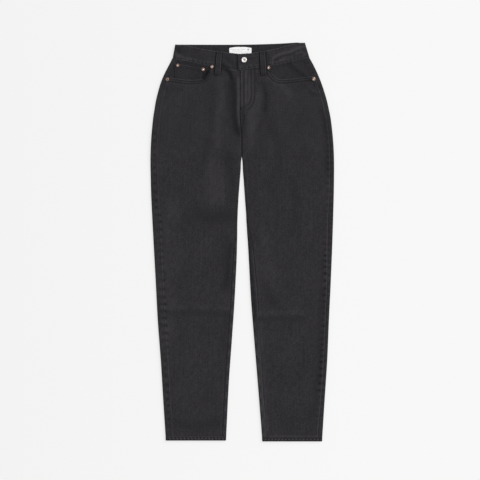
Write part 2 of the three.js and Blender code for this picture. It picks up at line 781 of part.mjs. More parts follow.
/** Stations along the waistband strip, from its over end round the back to its under end. */
function bandStations() {
  const leftStart = BAND_SIDE.left.low - BAND_TURN_FROM;
  const rightStart = BAND_TURN_FROM - BAND_SIDE.right.low;
  const half = Math.PI / 2;
  return [
    ...bandFrontStations(OVER_END, leftStart, true),
    ...bandTurnStations(SIDES.left, half, -half),
    ...bandBackStations(leftStart, rightStart),
    ...bandTurnStations(SIDES.right, -half, half),
    ...bandFrontStations(rightStart, UNDER_END, false),
  ];
}

/** How much of the folds the waistband takes, fading out at its sides. */
function bandFoldShare(x) {
  return ease(Math.abs(x), BAND_FADE_TO, BAND_FADE_FROM);
}

/** Narrows the strip's ends towards the top edge, where the waist is smaller. */
function leanIn(x, share) {
  const side = x < 0 ? BAND_SIDE.right : BAND_SIDE.left;
  const amount = ease(Math.abs(x), side.low - BAND_LEAN, side.low);
  return x - Math.sign(x) * (side.low - side.top) * share * amount;
}

/** The buttonhole's cutter: a round eye at the button and a slot beside it. */
function buttonhole() {
  const low = bandHeight(0, true) - BAND_THICK - GAP / 2;
  const high = low + CUT_BEYOND;
  const half = BUTTONHOLE.wide / 2;
  const { x, y } = BUTTON;
  const { eye, end } = BUTTONHOLE;
  const round = wasm.Manifold.cylinder(high - low, eye, eye, 16).translate([x, y, low]);
  const slot = prism([[x, y - half], [end, y - half], [end, y + half], [x, y + half]], low, high);
  return round.add(slot);
}

/** Waistband: one strip with lapped ends and a buttonhole through the upper one. */
function waistband() {
  const stations = bandStations();
  const face = (depth) => BAND_ROWS.map((share) => stations.map((station) => {
    const x = leanIn(station.x, share);
    const y = station.low + (station.top - station.low) * share;
    const lift = station.front ? relief(x, y) * bandFoldShare(x) : 0;
    return [x + station.inside[0] * depth, y, station.z + lift + station.inside[1] * depth];
  }));
  const strip = solid(slab({ outer: face(0), inner: face(BAND_THICK) }));
  return geometryOf(strip.subtract(buttonhole()));
}

/** A flat-lying patch between two edges, each a function of a share across, at depths below the front. */
function patch({ side, across, down, place, depth, thick, flat }) {
  const face = (extra) => {
    const grid = [];
    for (let row = 0; row <= down; row += 1) {
      const line = [];
      for (let column = 0; column <= across; column += 1) {
        const [x, y] = place(column / across, row / down);
        const top = flat ? underside(y) + LEG_HEIGHT : frontHeight(side, x, y);
        line.push([x, y, top - depth - extra]);
      }
      grid.push(line);
    }
    return grid;
  };
  return slab({ outer: face(0), inner: face(thick) });
}

/** Facing behind a pocket mouth, from the outseam to under the front panel. */
function pocketFacing(side, innerX, depth, flat) {
  return patch({
    side,
    across: FACING_COLUMNS,
    down: FACING_ROWS,
    depth,
    thick: PATCH_THICK,
    flat,
    place: (u, v) => {
      const reach = (y) => side.sign * (outside(side, y) - outseamInset(side, y) - GAP / 2);
      const edgeY = bandLowFront(reach(450)) - GAP;
      const guess = edgeY + (FACING_END - edgeY) * v;
      const x = reach(guess) + (innerX - reach(guess)) * u;
      const top = bandLowFront(x) - GAP;
      return [x, top + (FACING_END - top) * v];
    },
  });
}

/** Coin pocket on the right facing. */
function coinPocket() {
  const { topLeft, topRight, lowLeft, lowRight } = COIN_POCKET;
  const mix = (a, b, t) => [a[0] + (b[0] - a[0]) * t, a[1] + (b[1] - a[1]) * t];
  return patch({
    side: SIDES.right,
    across: COIN_COLUMNS,
    down: COIN_ROWS,
    depth: WALL + GAP,
    thick: PATCH_THICK,
    flat: true,
    place: (u, v) => mix(mix(topLeft, topRight, u), mix(lowLeft, lowRight, u), v),
  });
}

/** Height that something on the front of the garment lies on. */
function frontSupport(x, y) {
  const side = x < read(FLY_LINE, 'y', 'x', y) ? SIDES.right : SIDES.left;
  const seam = bandLowFront(x);
  const panel = y < seam + SEAM_REACH ? frontHeight(side, x, y) : 0;
  const onBand = bandHeight(x, side.sign > 0) + relief(x, y) * bandFoldShare(x);
  return Math.max(panel, y > seam - SEAM_REACH ? onBand : 0);
}

/** A belt loop on the front, over the waistband and down to the panel. */
function frontLoop({ top, bottom }) {
  const seam = bandLowFront(top[0]);
  const atSeam = LOOP_ROWS.seam.map((rise) => seam + rise);
  const ends = [bottom[1] + LOOP_ROWS.aboveEnd, bottom[1]];
  const heights = [top[1], top[1] - LOOP_ROWS.belowTop, ...atSeam, ...ends];
  const face = (lift) => heights.map((y) => {
    const centre = bottom[0] + ((top[0] - bottom[0]) * (y - bottom[1])) / (top[1] - bottom[1]);
    const xs = evenly(centre - LOOP_WIDE / 2, centre + LOOP_WIDE / 2, LOOP_COLUMNS);
    const rest = Math.max(...xs.map((x) => frontSupport(x, y)));
    return xs.map((x) => [x, y, rest + GAP + lift]);
  });
  return slab({ outer: face(LOOP_THICK), inner: face(0) });
}

/** A belt loop behind, under the waistband and the yoke. */
function backLoop({ x }) {
  const geometry = new THREE.BoxGeometry(LOOP_WIDE, LOOP_TALL, PATCH_THICK);
  geometry.translate(x, read(BAND_TOP_BACK, 'x', 'y', x) - 1 - LOOP_TALL / 2, PATCH_THICK / 2);
  return geometry;
}

/** A back patch pocket with a pointed bottom, flat on the surface. */
function backPocket(side) {
  const { x, top, tall, wide, bottomWide, point, tilt } = BACK_POCKET;
  const corners = [
    [-wide / 2, 0],
    [wide / 2, 0],
    [bottomWide / 2, point - tall],
    [0, -tall],
    [-bottomWide / 2, point - tall],
  ];
  const shape = new THREE.Shape(corners.map(([a, b]) => new THREE.Vector2(a, b)));
  const geometry = new THREE.ExtrudeGeometry(shape, { depth: PATCH_THICK, bevelEnabled: false });
  geometry.rotateZ(side.sign * tilt);
  geometry.translate(side.sign * x, top, 0);
  return geometry;
}

/** Woven label inside the back of the waistband, with a gently arched top. */
function labelPiece() {
  const z = SEAT_LIFT + BAND_THICK + GAP;
  const face = (height) => [0, 1].map((row) => {
    const shares = evenly(0, 1, LABEL_COLUMNS);
    return shares.map((u) => {
      const arch = 4 * u * (1 - u);
      const top = LABEL.topEnds + (LABEL.topMiddle - LABEL.topEnds) * arch;
      return [LABEL.left + (LABEL.right - LABEL.left) * u, row ? LABEL.bottom : top, height];
    });
  });
  return slab({ outer: face(z + PATCH_THICK), inner: face(z) });
}

/** Zip behind the closed fly. */
function zip() {
  const geometry = new THREE.BoxGeometry(ZIP.wide, ZIP.tall, ZIP.thick);
  geometry.translate(ZIP.x, ZIP.y, ZIP.z + ZIP.thick / 2);
  return geometry;
}

/** A turned piece standing on the page: its profile is radius and height from the bottom up. */
function turned(profile, x, y, z, segments) {
  const points = profile.map(([radius, height]) => new THREE.Vector2(radius, height));
  const geometry = new THREE.LatheGeometry(points, segments);
  geometry.rotateX(Math.PI / 2);
  geometry.translate(x, y, z);
  return geometry;
}

/** Shank button: the shank stands on the band's under end and comes up through the buttonhole. */
function button() {
  const foot = bandHeight(0, false) + GAP;
  const neck = bandHeight(0, true) + GAP - foot;
  const { radius, shank, head } = BUTTON;
  const top = neck + head;
  return turned([
    [0, 0],
    [shank, 0],
    [shank, neck],
    [radius - 0.6, neck],
    [radius, neck + 0.9],
    [radius - 0.7, top - 0.5],
    [radius - 2.2, top],
    [radius - 4.4, top - 0.5],
    [radius - 5.2, top - 1.4],
    [0, top - 1.4],
  ], BUTTON.x, BUTTON.y, foot, BUTTON_SIDES);
}

/** A domed rivet on its layer. */
function rivet({ x, y, layer }) {
  const coinTop = SEAT_LIFT + LEG_HEIGHT - WALL - GAP;
  let rest = layer === 'coin' ? coinTop : frontSupport(x, y);
  for (let i = 0; layer === 'front' && i < 8; i += 1) {
    const angle = (i * Math.PI) / 4;
    const atRim = frontSupport(x + RIVET.radius * Math.cos(angle), y + RIVET.radius * Math.sin(angle));
    rest = Math.max(rest, atRim);
  }
  const { radius, tall } = RIVET;
  return turned([
    [0, 0],
    [radius, 0],
    [radius - 0.4, tall * 0.5],
    [radius - 1.7, tall * 0.85],
    [radius - 2.6, tall * 0.6],
    [radius - 3.2, tall],
    [0, tall],
  ], x, y, rest + GAP / 2, RIVET_SIDES);
}

const DENIM = { color: 0x302e31, roughness: 0.95, metalness: 0 };
const BRIGHT_METAL = { color: 0xb9b8b6, roughness: 0.3, metalness: 1 };
const COPPER = { color: 0x6f5f58, roughness: 0.45, metalness: 1 };
const WHITE_TAPE = { color: 0xe9e8e6, roughness: 0.9, metalness: 0 };
const TAPE = { color: 0x242326, roughness: 0.9, metalness: 0 };

const jeans = new THREE.Group();

/** Adds a named piece to the jeans. */
function add(name, geometry, finish) {
  const mesh = new THREE.Mesh(geometry, new THREE.MeshStandardMaterial(finish));
  mesh.name = name;
  jeans.add(mesh);
}

const facingDepth = WALL + GAP;
const coinFacingDepth = facingDepth + PATCH_THICK + GAP;
const leftFacingDepth = facingDepth + FACING_LEFT_LOWER;
add('front_right', frontPanel(SIDES.right, SCOOP_RIGHT), DENIM);
add('front_left', frontPanel(SIDES.left, SCOOP_LEFT), DENIM);
add('pocket_facing_right', pocketFacing(SIDES.right, FACING_INNER_RIGHT, coinFacingDepth, true), DENIM);
add('pocket_facing_left', pocketFacing(SIDES.left, FACING_INNER_LEFT, leftFacingDepth, false), DENIM);
for (const side of Object.values(SIDES)) {
  add(`back_${side.name}`, backPanel(side), DENIM);
  add(`yoke_${side.name}`, yoke(side), DENIM);
  add(`hem_${side.name}`, hem(side), DENIM);
  add(`back_pocket_${side.name}`, backPocket(side), DENIM);
}
add('waistband', waistband(), DENIM);
add('coin_pocket', coinPocket(), DENIM);
for (const loop of FRONT_LOOPS) add(loop.name, frontLoop(loop), DENIM);
for (const loop of BACK_LOOPS) add(loop.name, backLoop(loop), DENIM);
add('zip', zip(), TAPE);
add('label', labelPiece(), WHITE_TAPE);
add('button', button(), BRIGHT_METAL);
for (const place of RIVETS) add(place.name, rivet(place), COPPER);

const bounds = new THREE.Box3().setFromObject(jeans);
const middle = bounds.getCenter(new THREE.Vector3());
jeans.position.set(-middle.x, -middle.y, -bounds.min.z);

export default jeans;
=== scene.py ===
"""Tapered five-pocket jeans in washed black denim, laid flat on their back and seen straight down.

Lengths are in millimetres on the page: X to the right, Y up to the waist, Z up from the surface.
Right and left are the wearer's, so the right leg lies at negative X. Meshes are made in metres.
"""

import functools
import logging
import math
from collections.abc import Callable
from dataclasses import dataclass, field
from enum import Enum

import bpy
import numpy as np
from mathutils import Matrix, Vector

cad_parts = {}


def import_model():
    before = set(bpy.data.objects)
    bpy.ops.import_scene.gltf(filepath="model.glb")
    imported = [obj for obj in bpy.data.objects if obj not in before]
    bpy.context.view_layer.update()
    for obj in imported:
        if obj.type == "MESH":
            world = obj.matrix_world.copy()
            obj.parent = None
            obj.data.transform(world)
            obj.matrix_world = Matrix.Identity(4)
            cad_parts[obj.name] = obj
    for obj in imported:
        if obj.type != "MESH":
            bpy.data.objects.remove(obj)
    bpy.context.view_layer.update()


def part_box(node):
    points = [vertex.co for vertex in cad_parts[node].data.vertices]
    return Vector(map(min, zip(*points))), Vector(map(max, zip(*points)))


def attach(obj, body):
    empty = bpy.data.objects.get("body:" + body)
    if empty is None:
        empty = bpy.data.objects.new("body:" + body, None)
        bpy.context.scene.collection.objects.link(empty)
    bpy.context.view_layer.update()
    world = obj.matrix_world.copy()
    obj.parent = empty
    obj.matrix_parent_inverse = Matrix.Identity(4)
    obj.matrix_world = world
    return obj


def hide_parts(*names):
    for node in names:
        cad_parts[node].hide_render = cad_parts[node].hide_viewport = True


LOG = logging.getLogger("jeans")
MM = 0.001
BODY = "root"
BUTTON_PLACE = (4.9, 455.6)

Points = np.ndarray
Curve = list[tuple[float, float]]
Color = tuple[float, float, float]
Scale = tuple[float, float, float]
Place = tuple[float, float]
Piece = bpy.types.Object
Finish = bpy.types.Material
Socket = bpy.types.NodeSocket


class Thread(Enum):
    """The sewing threads by place, with stitch pitch, length and thickness."""

    TOP = (3.3, 2.7, 0.62)
    HEM = (3.4, 2.8, 0.66)
    TACK = (0.62, 1.9, 0.5)

    def __init__(self, pitch: float, length: float, thick: float) -> None:
        """Keeps the distance between stitches, a stitch's length and the thread's diameter."""
        self.pitch = pitch
        self.length = length
        self.thick = thick


def ease(value: Points | float, start: float, end: float) -> Points:
    """Eases from 0 to 1 while the value goes from start to end.

    Args:
        value: Number or array to read.
        start: Where the result is 0.
        end: Where the result is 1.

    Returns:
        The eased share.
    """
    share = np.clip((np.asarray(value, dtype=float) - start) / (end - start), 0.0, 1.0)
    return share * share * (3.0 - 2.0 * share)


def bell(value: Points | float, width: float) -> Points:
    """A bell curve: 1 where the value is 0, and about a third at the width."""
    return np.exp(-((value / width) ** 2))


def join(*columns: Points | float) -> Points:
    """Joins coordinates into points, along a new last axis."""
    return np.stack(np.broadcast_arrays(*columns), axis=-1)


class Profile:
    """A smooth curve through a few named places."""

    def __init__(self, places: Curve) -> None:
        """Keeps the places in rising order.

        Args:
            places: Pairs of place and value.
        """
        ordered = sorted(places)
        self.keys = np.array([key for key, _ in ordered], dtype=float)
        self.values = np.array([value for _, value in ordered], dtype=float)
        last = len(ordered) - 1
        before = np.maximum(np.arange(last + 1) - 1, 0)
        after = np.minimum(np.arange(last + 1) + 1, last)
        self.slopes = (self.values[after] - self.values[before]) / (self.keys[after] - self.keys[before])

    def __call__(self, place: Points | float) -> Points:
        """Reads the curve.

        Args:
            place: Number or array of places, held within the curve's ends.

        Returns:
            The values there.
        """
        at = np.clip(np.asarray(place, dtype=float), self.keys[0], self.keys[-1])
        index = np.clip(np.searchsorted(self.keys, at, side="right") - 1, 0, len(self.keys) - 2)
        span = self.keys[index + 1] - self.keys[index]
        share = (at - self.keys[index]) / span
        rising = share * share * (3.0 - 2.0 * share)
        pull = self.slopes[index] * share * (1 - share) ** 2 - self.slopes[index + 1] * share**2 * (1 - share)
        return self.values[index] * (1 - rising) + self.values[index + 1] * rising + pull * span


@dataclass(frozen=True)
class Side:
    """One leg: its name, its side of the page and the line of its hem."""

    name: str
    sign: int
    hem_line: float
    outside: Profile
    inside: Profile
    outseam: Profile
    inseam: Profile

    @property
    def panel_bottom(self) -> float:
        """Lower edge of the leg's panels, just above the hem."""
        return self.hem_line + CLOTH.hem_tall + CLOTH.gap / 2


@dataclass(frozen=True)
class Cloth:
    """Thicknesses and layers of the cloth."""

    wall: float = 1.0
    gap: float = 0.3
    edge_radius: float = 2.8
    seat_lift: float = 1.3
    band_thick: float = 2.2
    loop_thick: float = 1.5
    hem_thick: float = 2.1
    hem_tall: float = 10.5
    fork: float = 208.0
    slit_top: float = 286.0
    slit_full: float = 228.0
    back_curl_top: float = 240.0
    fly_underlap: float = 8.0
    fly_end: float = 335.0
    fly_fade: float = 24.0
    underlap_sink: float = 0.55
    overlap_rise: float = 1.25
    yoke_side: float = 422.0
    yoke_back: float = 385.0
    facing_end: float = 392.0
    over_end: float = -10.0
    under_end: float = 24.0

    @property
    def leg_height(self) -> float:
        """Height of a leg lying flat."""
        return 2 * self.edge_radius


CLOTH = Cloth()
RIGHT = Side(
    name="right",
    sign=-1,
    hem_line=-495.1,
    outside=Profile([
        (460, 173.8), (444.6, 181.1), (429.6, 189.1), (414.6, 196.4), (399.6, 202.6), (384.6, 207.4),
        (354.6, 215.1), (329.6, 219.4), (304.6, 223.1), (254.6, 227.6), (204.6, 229.3), (154.6, 228.6),
        (104.6, 227.1), (4.6, 221.9), (-95.4, 216.4), (-195.4, 211.1), (-295.4, 203.6), (-395.4, 197.4),
        (-497.9, 190.8),
    ]),
    inside=Profile([
        (232, 1.55), (214, 1.6), (208, 2.1), (200, 3.1), (179.6, 3.9), (154.6, 5.9), (104.6, 9.6),
        (54.6, 11.9), (-45.4, 14.4), (-145.4, 19.1), (-245.4, 25.9), (-345.4, 33.1), (-445.4, 38.1),
        (-497.9, 40.6),
    ]),
    outseam=Profile([
        (460, 10.5), (400, 12.5), (194.6, 13.8), (129.6, 15.8), (54.6, 16.2), (-20.4, 16.2), (-85.4, 16),
        (-265.4, 16), (-365.4, 16), (-433, 16), (-497.9, 16),
    ]),
    inseam=Profile([
        (208, 0), (70, 0), (30, 0.4), (15, 2), (-15.4, 7.3), (-83, 9.7), (-123, 10), (-232, 10), (-345, 10),
        (-415, 10), (-497.9, 10),
    ]),
)
LEFT = Side(
    name="left",
    sign=1,
    hem_line=-497.9,
    outside=Profile([
        (460, 167.5), (444.6, 176.1), (429.6, 183.6), (414.6, 190.4), (399.6, 196.4), (384.6, 201.8),
        (354.6, 210.9), (329.6, 216.6), (304.6, 221.4), (254.6, 226.9), (204.6, 229.3), (154.6, 229.3),
        (104.6, 228.4), (4.6, 225.4), (-95.4, 221.4), (-195.4, 216.6), (-295.4, 212.4), (-395.4, 205.9),
        (-497.9, 199.4),
    ]),
    inside=Profile([
        (232, -1.25), (214, -1.2), (208, -0.7), (200, 0.5), (179.6, 1.4), (154.6, 3.4), (104.6, 6.9),
        (54.6, 10.6), (-45.4, 16.4), (-145.4, 21.9), (-245.4, 29.9), (-345.4, 38.1), (-445.4, 46.1),
        (-497.9, 50),
    ]),
    outseam=Profile([
        (460, 10.5), (400, 10.5), (194.6, 9.5), (129.6, 10.5), (54.6, 12.2), (-20.4, 11.5), (-85.4, 9),
        (-265.4, 8.3), (-365.4, 8.8), (-433, 10), (-497.9, 12.5),
    ]),
    inseam=Profile([
        (208, 0), (70, 0), (30, 4), (15, 8.5), (-15.4, 12), (-83, 15), (-123, 17), (-232, 15), (-345, 12.6),
        (-415, 12.3), (-497.9, 14),
    ]),
)
SIDES = (RIGHT, LEFT)

FLY_LINE = Profile([(432, -4.1), (337, -3.4), (321, -5.8), (282, -3.2), (262, -1.6), (232, -1.4)])
BAND_LOW_FRONT = Profile([
    (-176, 457), (-136, 449.6), (-90, 440.6), (-50, 436), (-12, 427.6), (10, 429.4), (60, 436.8), (98, 443.2),
    (144, 454.4), (170, 458.6),
])
BAND_TOP_RIGHT = Profile([
    (-168, 491.1), (-139, 489.6), (-101.6, 481.4), (-61.6, 475.6), (-19, 470.2), (24, 465),
])
BAND_TOP_LEFT = Profile([
    (-10, 468.4), (19, 470.1), (50, 474.8), (78.4, 480.8), (118.4, 490.9), (157, 496.6),
])
BAND_LOW_BACK = Profile([(-176, 457), (-90, 451.5), (0, 450), (90, 453), (170, 458.6)])
BAND_TOP_BACK = Profile([(-168, 492.6), (0, 492.5), (80, 494.6), (143, 497.8), (157, 497.0)])
BAND_SIDE = {"right": (174.0, 167.4), "left": (168.2, 156.6)}

SCOOP_RIGHT: Curve = [
    (-79.9, 436), (-82, 426), (-84.5, 418), (-91, 410.5), (-101, 405.8), (-116, 403.8), (-136, 403.8),
    (-152, 405.5), (-168, 408), (-182, 409.6),
]
SCOOP_LEFT: Curve = [
    (68.4, 436), (69.5, 426), (75, 417.6), (84.5, 408.6), (96, 405), (112, 405.6), (134, 408), (156, 411),
    (174, 412.4),
]

# Rows of stitches: where they run, and how bright the painted highlight along the row round the hems is.
SCOOP_ROWS = (2.6, 9.0)
FELL_ROW = 4.6
HEM_ROW = -486.1
HEM_ROW_HIGHLIGHT = 0.42
BAND_ROW = 2.8
LOOP_ROWS = 4.4
LOOP_TACK = 4.6
COIN_ROWS = (1.8, 7.2)
PATCH_ROWS = (2.0, 8.0)
# How far in from a leg's edges the folds fade out.
EDGE_FADE = 11.0
# Sizes of the small pieces, and of the panels before their upper ends are bent to the seams.
LOOP_WIDE = 13.0
LOOP_BOW = 1.3
PATCH_THICK = 1.0
UNDERSIDE_ROOM = 0.35
COIN_SIZE = (78.0, 44.0)
HEM_ROUND = 302.0
FRONT_TOP = 440.0
BACK_TOP = 395.0
YOKE_TOP = 455.0
YOKE_BOTTOM = 400.0
BEND_ROUNDS = 4
# The buttonhole: its two ends, its height as a share of the waistband's, and a place well beside it.
BUTTONHOLE = (5.0, 30.0)
BUTTONHOLE_UP = 0.66
BUTTONHOLE_OFF = -60.0
BACK_LOOPS = ("belt_loop_back_right", "belt_loop_back", "belt_loop_back_left")
COIN_CORNERS = ((-171, 445.6), (-90, 430.8), (-168, 393), (-94, 393))
FLY_ROWS: tuple[Curve, ...] = (
    [(31.2, 430), (31.2, 405.6), (31.2, 362), (27, 344.6), (18, 332.9), (10.4, 327)],
    [(22.1, 429), (22.1, 405.6), (22.1, 360.4), (18.4, 348.6), (12.4, 338.9)],
    [(-7.1, 321), (-5.5, 305), (-3.4, 282)],
    [(7.4, 319), (3.0, 300), (-0.4, 274)],
)
TACKS = (
    ((-4.0, 393.4), (5.6, 393.4)),
    ((-6.9, 337.1), (2.6, 337.1)),
    ((-3.4, 315.1), (6.6, 315.1)),
)
# Each rivet's lean, and whether its nub takes the pale copper, partly wear and partly a painted highlight.
RIVETS = {
    "rivet_coin_outer": ((0.6, -0.6), True),
    "rivet_coin_inner": ((0.8, -1.8), True),
    "rivet_right_inner": ((0.3, -1.5), True),
    "rivet_right_outer": ((-0.2, -1.1), False),
    "rivet_left_inner": ((0.1, -1.7), True),
    "rivet_left_outer": ((-0.6, -2.6), True),
}


@dataclass(frozen=True)
class Fold:
    """One pressed or fallen fold: its path on the page, half its width, and how far it rises or sinks."""

    path: Curve
    width: float
    rise: float


def folds(*rows: tuple) -> tuple[Fold, ...]:
    """Reads folds from rows of half width, rise and path."""
    return tuple(Fold(path, width, rise) for width, rise, *path in rows)


MAIN_FOLDS = folds(
    (6, -2.1, (-48, 439), (-33, 419), (-25, 396), (-22, 366), (-22, 337), (-20, 307), (-15, 278), (-11, 266)),
    (4, 0.7, (-10, 405), (-10, 366), (-11, 320), (-9, 285)),
    (9, 0.5, (-56, 415), (-50, 366), (-46, 320)),
    (6, -1.4, (50, 395), (57, 368), (59, 350), (54, 328)),
    (8, 0.6, (44, 378), (43, 345), (32, 310), (22, 280)),
    (6, -0.9, (113, 443), (144, 419), (168, 401), (189, 386)),
    (5, -0.7, (150, 389), (178, 366), (196, 362)),
    (5, 0.4, (160, 376), (186, 372)),
    (6, -1.0, (192, 331), (206, 296), (212, 240), (209, 180)),
    (6, -0.6, (-190, 381), (-153, 379)),
    (8, -0.5, (-80, 390), (-78, 330), (-84, 280)),
    (8, -0.6, (-90, 250), (-96, 200), (-108, 170)),
    (22, 0.7, (-75, 190), (-68, 150), (-62, 105)),
    (9, -0.9, (-33, 215), (-30, 150), (-28, 105)),
    (17, -0.8, (-105, 72), (-60, 66), (-20, 60)),
    (9, -0.5, (-148, 130), (-144, 80), (-138, 50)),
    (11, -0.5, (60, 305), (86, 250), (92, 180)),
    (10, -0.5, (52, 150), (74, 122)),
    (8, -0.5, (122, 155), (134, 110), (124, 20)),
    (10, 0.4, (52, 30), (62, -40), (72, -80)),
    (10, -0.8, (56, -112), (74, -150)),
    (6, -0.7, (-190, -180), (-110, -178), (-36, -184)),
    (7, 0.3, (-190, -163), (-36, -166)),
    (7, 0.5, (40, -180), (150, -178)),
    (6, -0.6, (40, -194), (150, -192)),
    (9, -0.6, (-42, 10), (-40, -60), (-44, -120)),
    (8, -0.5, (-42, -205), (-48, -260)),
    (7, -0.6, (188, -345), (180, -390), (172, -432)),
    (12, -0.5, (-170, -450), (-110, -462), (-62, -448)),
    (5, 0.7, (78, 459), (101, 469), (118, 472), (134, 480), (152, 487)),
)

# Painted highlights (above 0) and painted shade (below 0) along ridges, creases, seams and pocket edges, with
# a few broad paler or darker patches: half width, amount and path.
TONES = folds(
    (11, -0.34, (-30, 392), (-29, 366), (-27, 330), (-21, 300), (-16, 280)),
    (1.8, 0.6, (-2.2, 426), (-1.4, 337)),
    (1.8, -0.2, (3.5, 426), (4.5, 337)),
    (1.8, 0.4, (9, 426), (9, 345)),
    (3.5, 0.24, (-11, 408), (-10, 344), (-8.5, 290)),
    (2.5, 0.14, (18, 408), (17, 350)),
    (4, -0.35, (1, 336), (2, 316)),
    (6, 0.12, (22, 410), (22, 360)),
    (6, 0.14, (38, 365), (20, 320)),
    (9, 0.1, (20, 310), (24, 240)),
    (6, -0.35, (2, 305), (3, 270)),
    (6, -0.7, (-88, 424), (-94, 408)),
    (8, -0.12, (-120, 402), (-100, 396)),
    (12, 0.16, (66, 420), (120, 368)),
    (4, 0.08, (124, 448), (160, 425), (190, 404)),
    (3.0, 0.2, (78, 458), (86, 465), (101, 470), (118, 473), (134, 481), (152, 488)),
    (3.6, -0.26, (82, 455), (102, 463), (120, 467), (140, 476)),
    (3.0, 0.26, (134, 470), (150, 474), (158, 468)),
    (2.6, -0.2, (128, 462), (146, 466)),
    (5, -0.3, (-166, 488), (-158, 474)),
    (3, 0.2, (-152, 452), (-128, 456)),
    (5, -0.14, (-120, 462), (-96, 456)),
    (1.8, 0.3, (77, 458), (76, 444)),
    (2.2, 0.25, (94, 452), (112, 462), (126, 464)),
    (6, -0.2, (-160, 480), (-130, 473), (-110, 478)),
    (4, 0.25, (-165, 470), (-152, 462)),
    (7, -0.3, (-40, 462), (-22, 440)),
    (2.2, -0.4, (-14, 466), (-14, 432)),
    (3, 0.3, (205, 400), (222, 330), (227, 250)),
    (9, 0.12, (-60, 340), (-60, 240)),
    (14, -0.16, (-100, 60), (-60, 55)),
    (7, -0.3, (-30, -10), (-40, -110)),
    (3.2, -0.42, (17, 5), (22.5, -80), (30, -150), (32, -190)),
    (4.5, 0.1, (30, -10), (36, -80), (43, -170), (52, -300), (63, -480)),
    (1.6, 0.34, (25.6, -23), (36.9, -145), (45.4, -250), (47, -295), (52.4, -395), (62.4, -470)),
    (9, -0.22, (200, -125), (196, -250), (188, -345)),
    (13, 0.08, (54, -68), (58, -105)),
    (16, -0.1, (96, -460), (150, -470), (180, -440)),
    (15, -0.1, (-166, -452), (-110, -466), (-60, -452)),
    (22, 0.08, (-170, 100), (-186, -60), (-180, -250)),
    (6, -0.46, (-50, 433), (-37, 429), (-28, 418), (-25, 408)),
    (2.2, -0.16, (-172, 401), (-143, 399), (-112, 398), (-95, 403), (-84, 413), (-79, 425)),
    (2.2, -0.16, (57, 425), (74, 405), (94, 397), (119, 398.5), (174, 404.5)),
)


def path_distance(path: Curve | tuple, x: Points, y: Points) -> tuple[Points, Points]:
    """Measures how far places on the page lie from a path.

    Args:
        path: The path's corners.
        x: Places across the page.
        y: Places up the page.

    Returns:
        The shortest distance to the path, and the length along it to the nearest point.
    """
    nearest = np.full(np.shape(x), np.inf)
    along = np.zeros(np.shape(x))
    run = 0.0
    for (x0, y0), (x1, y1) in zip(path[:-1], path[1:]):
        length = math.hypot(x1 - x0, y1 - y0)
        share = np.clip(((x - x0) * (x1 - x0) + (y - y0) * (y1 - y0)) / length**2, 0.0, 1.0)
        distance = np.hypot(x - x0 - share * (x1 - x0), y - y0 - share * (y1 - y0))
        closer = distance < nearest
        nearest = np.where(closer, distance, nearest)
        along = np.where(closer, run + share * length, along)
        run += length
    return nearest, along


def smooth_noise(x: Points, y: Points, size: float, seed: int, stretch: float = 1.0) -> Points:
    """Soft random waves on the page, the same on every run.

    Args:
        x: Places across the page.
        y: Places up the page.
        size: Typical distance between two crests.
        seed: Fixed seed of the waves.
        stretch: How many times longer the waves are up the page than across it.

    Returns:
        Heights between about -1 and 1.
    """
    generator = np.random.default_rng(seed)
    total = np.zeros(np.shape(x))
    waves = 9
    for _ in range(waves):
        angle = generator.uniform(0, math.pi)
        number = 2 * math.pi / (size * generator.uniform(0.7, 1.6))
        shift = generator.uniform(0, 2 * math.pi)
        total += np.sin(number * (x * math.cos(angle) + y * math.sin(angle) / stretch) + shift)
    return total / math.sqrt(waves)


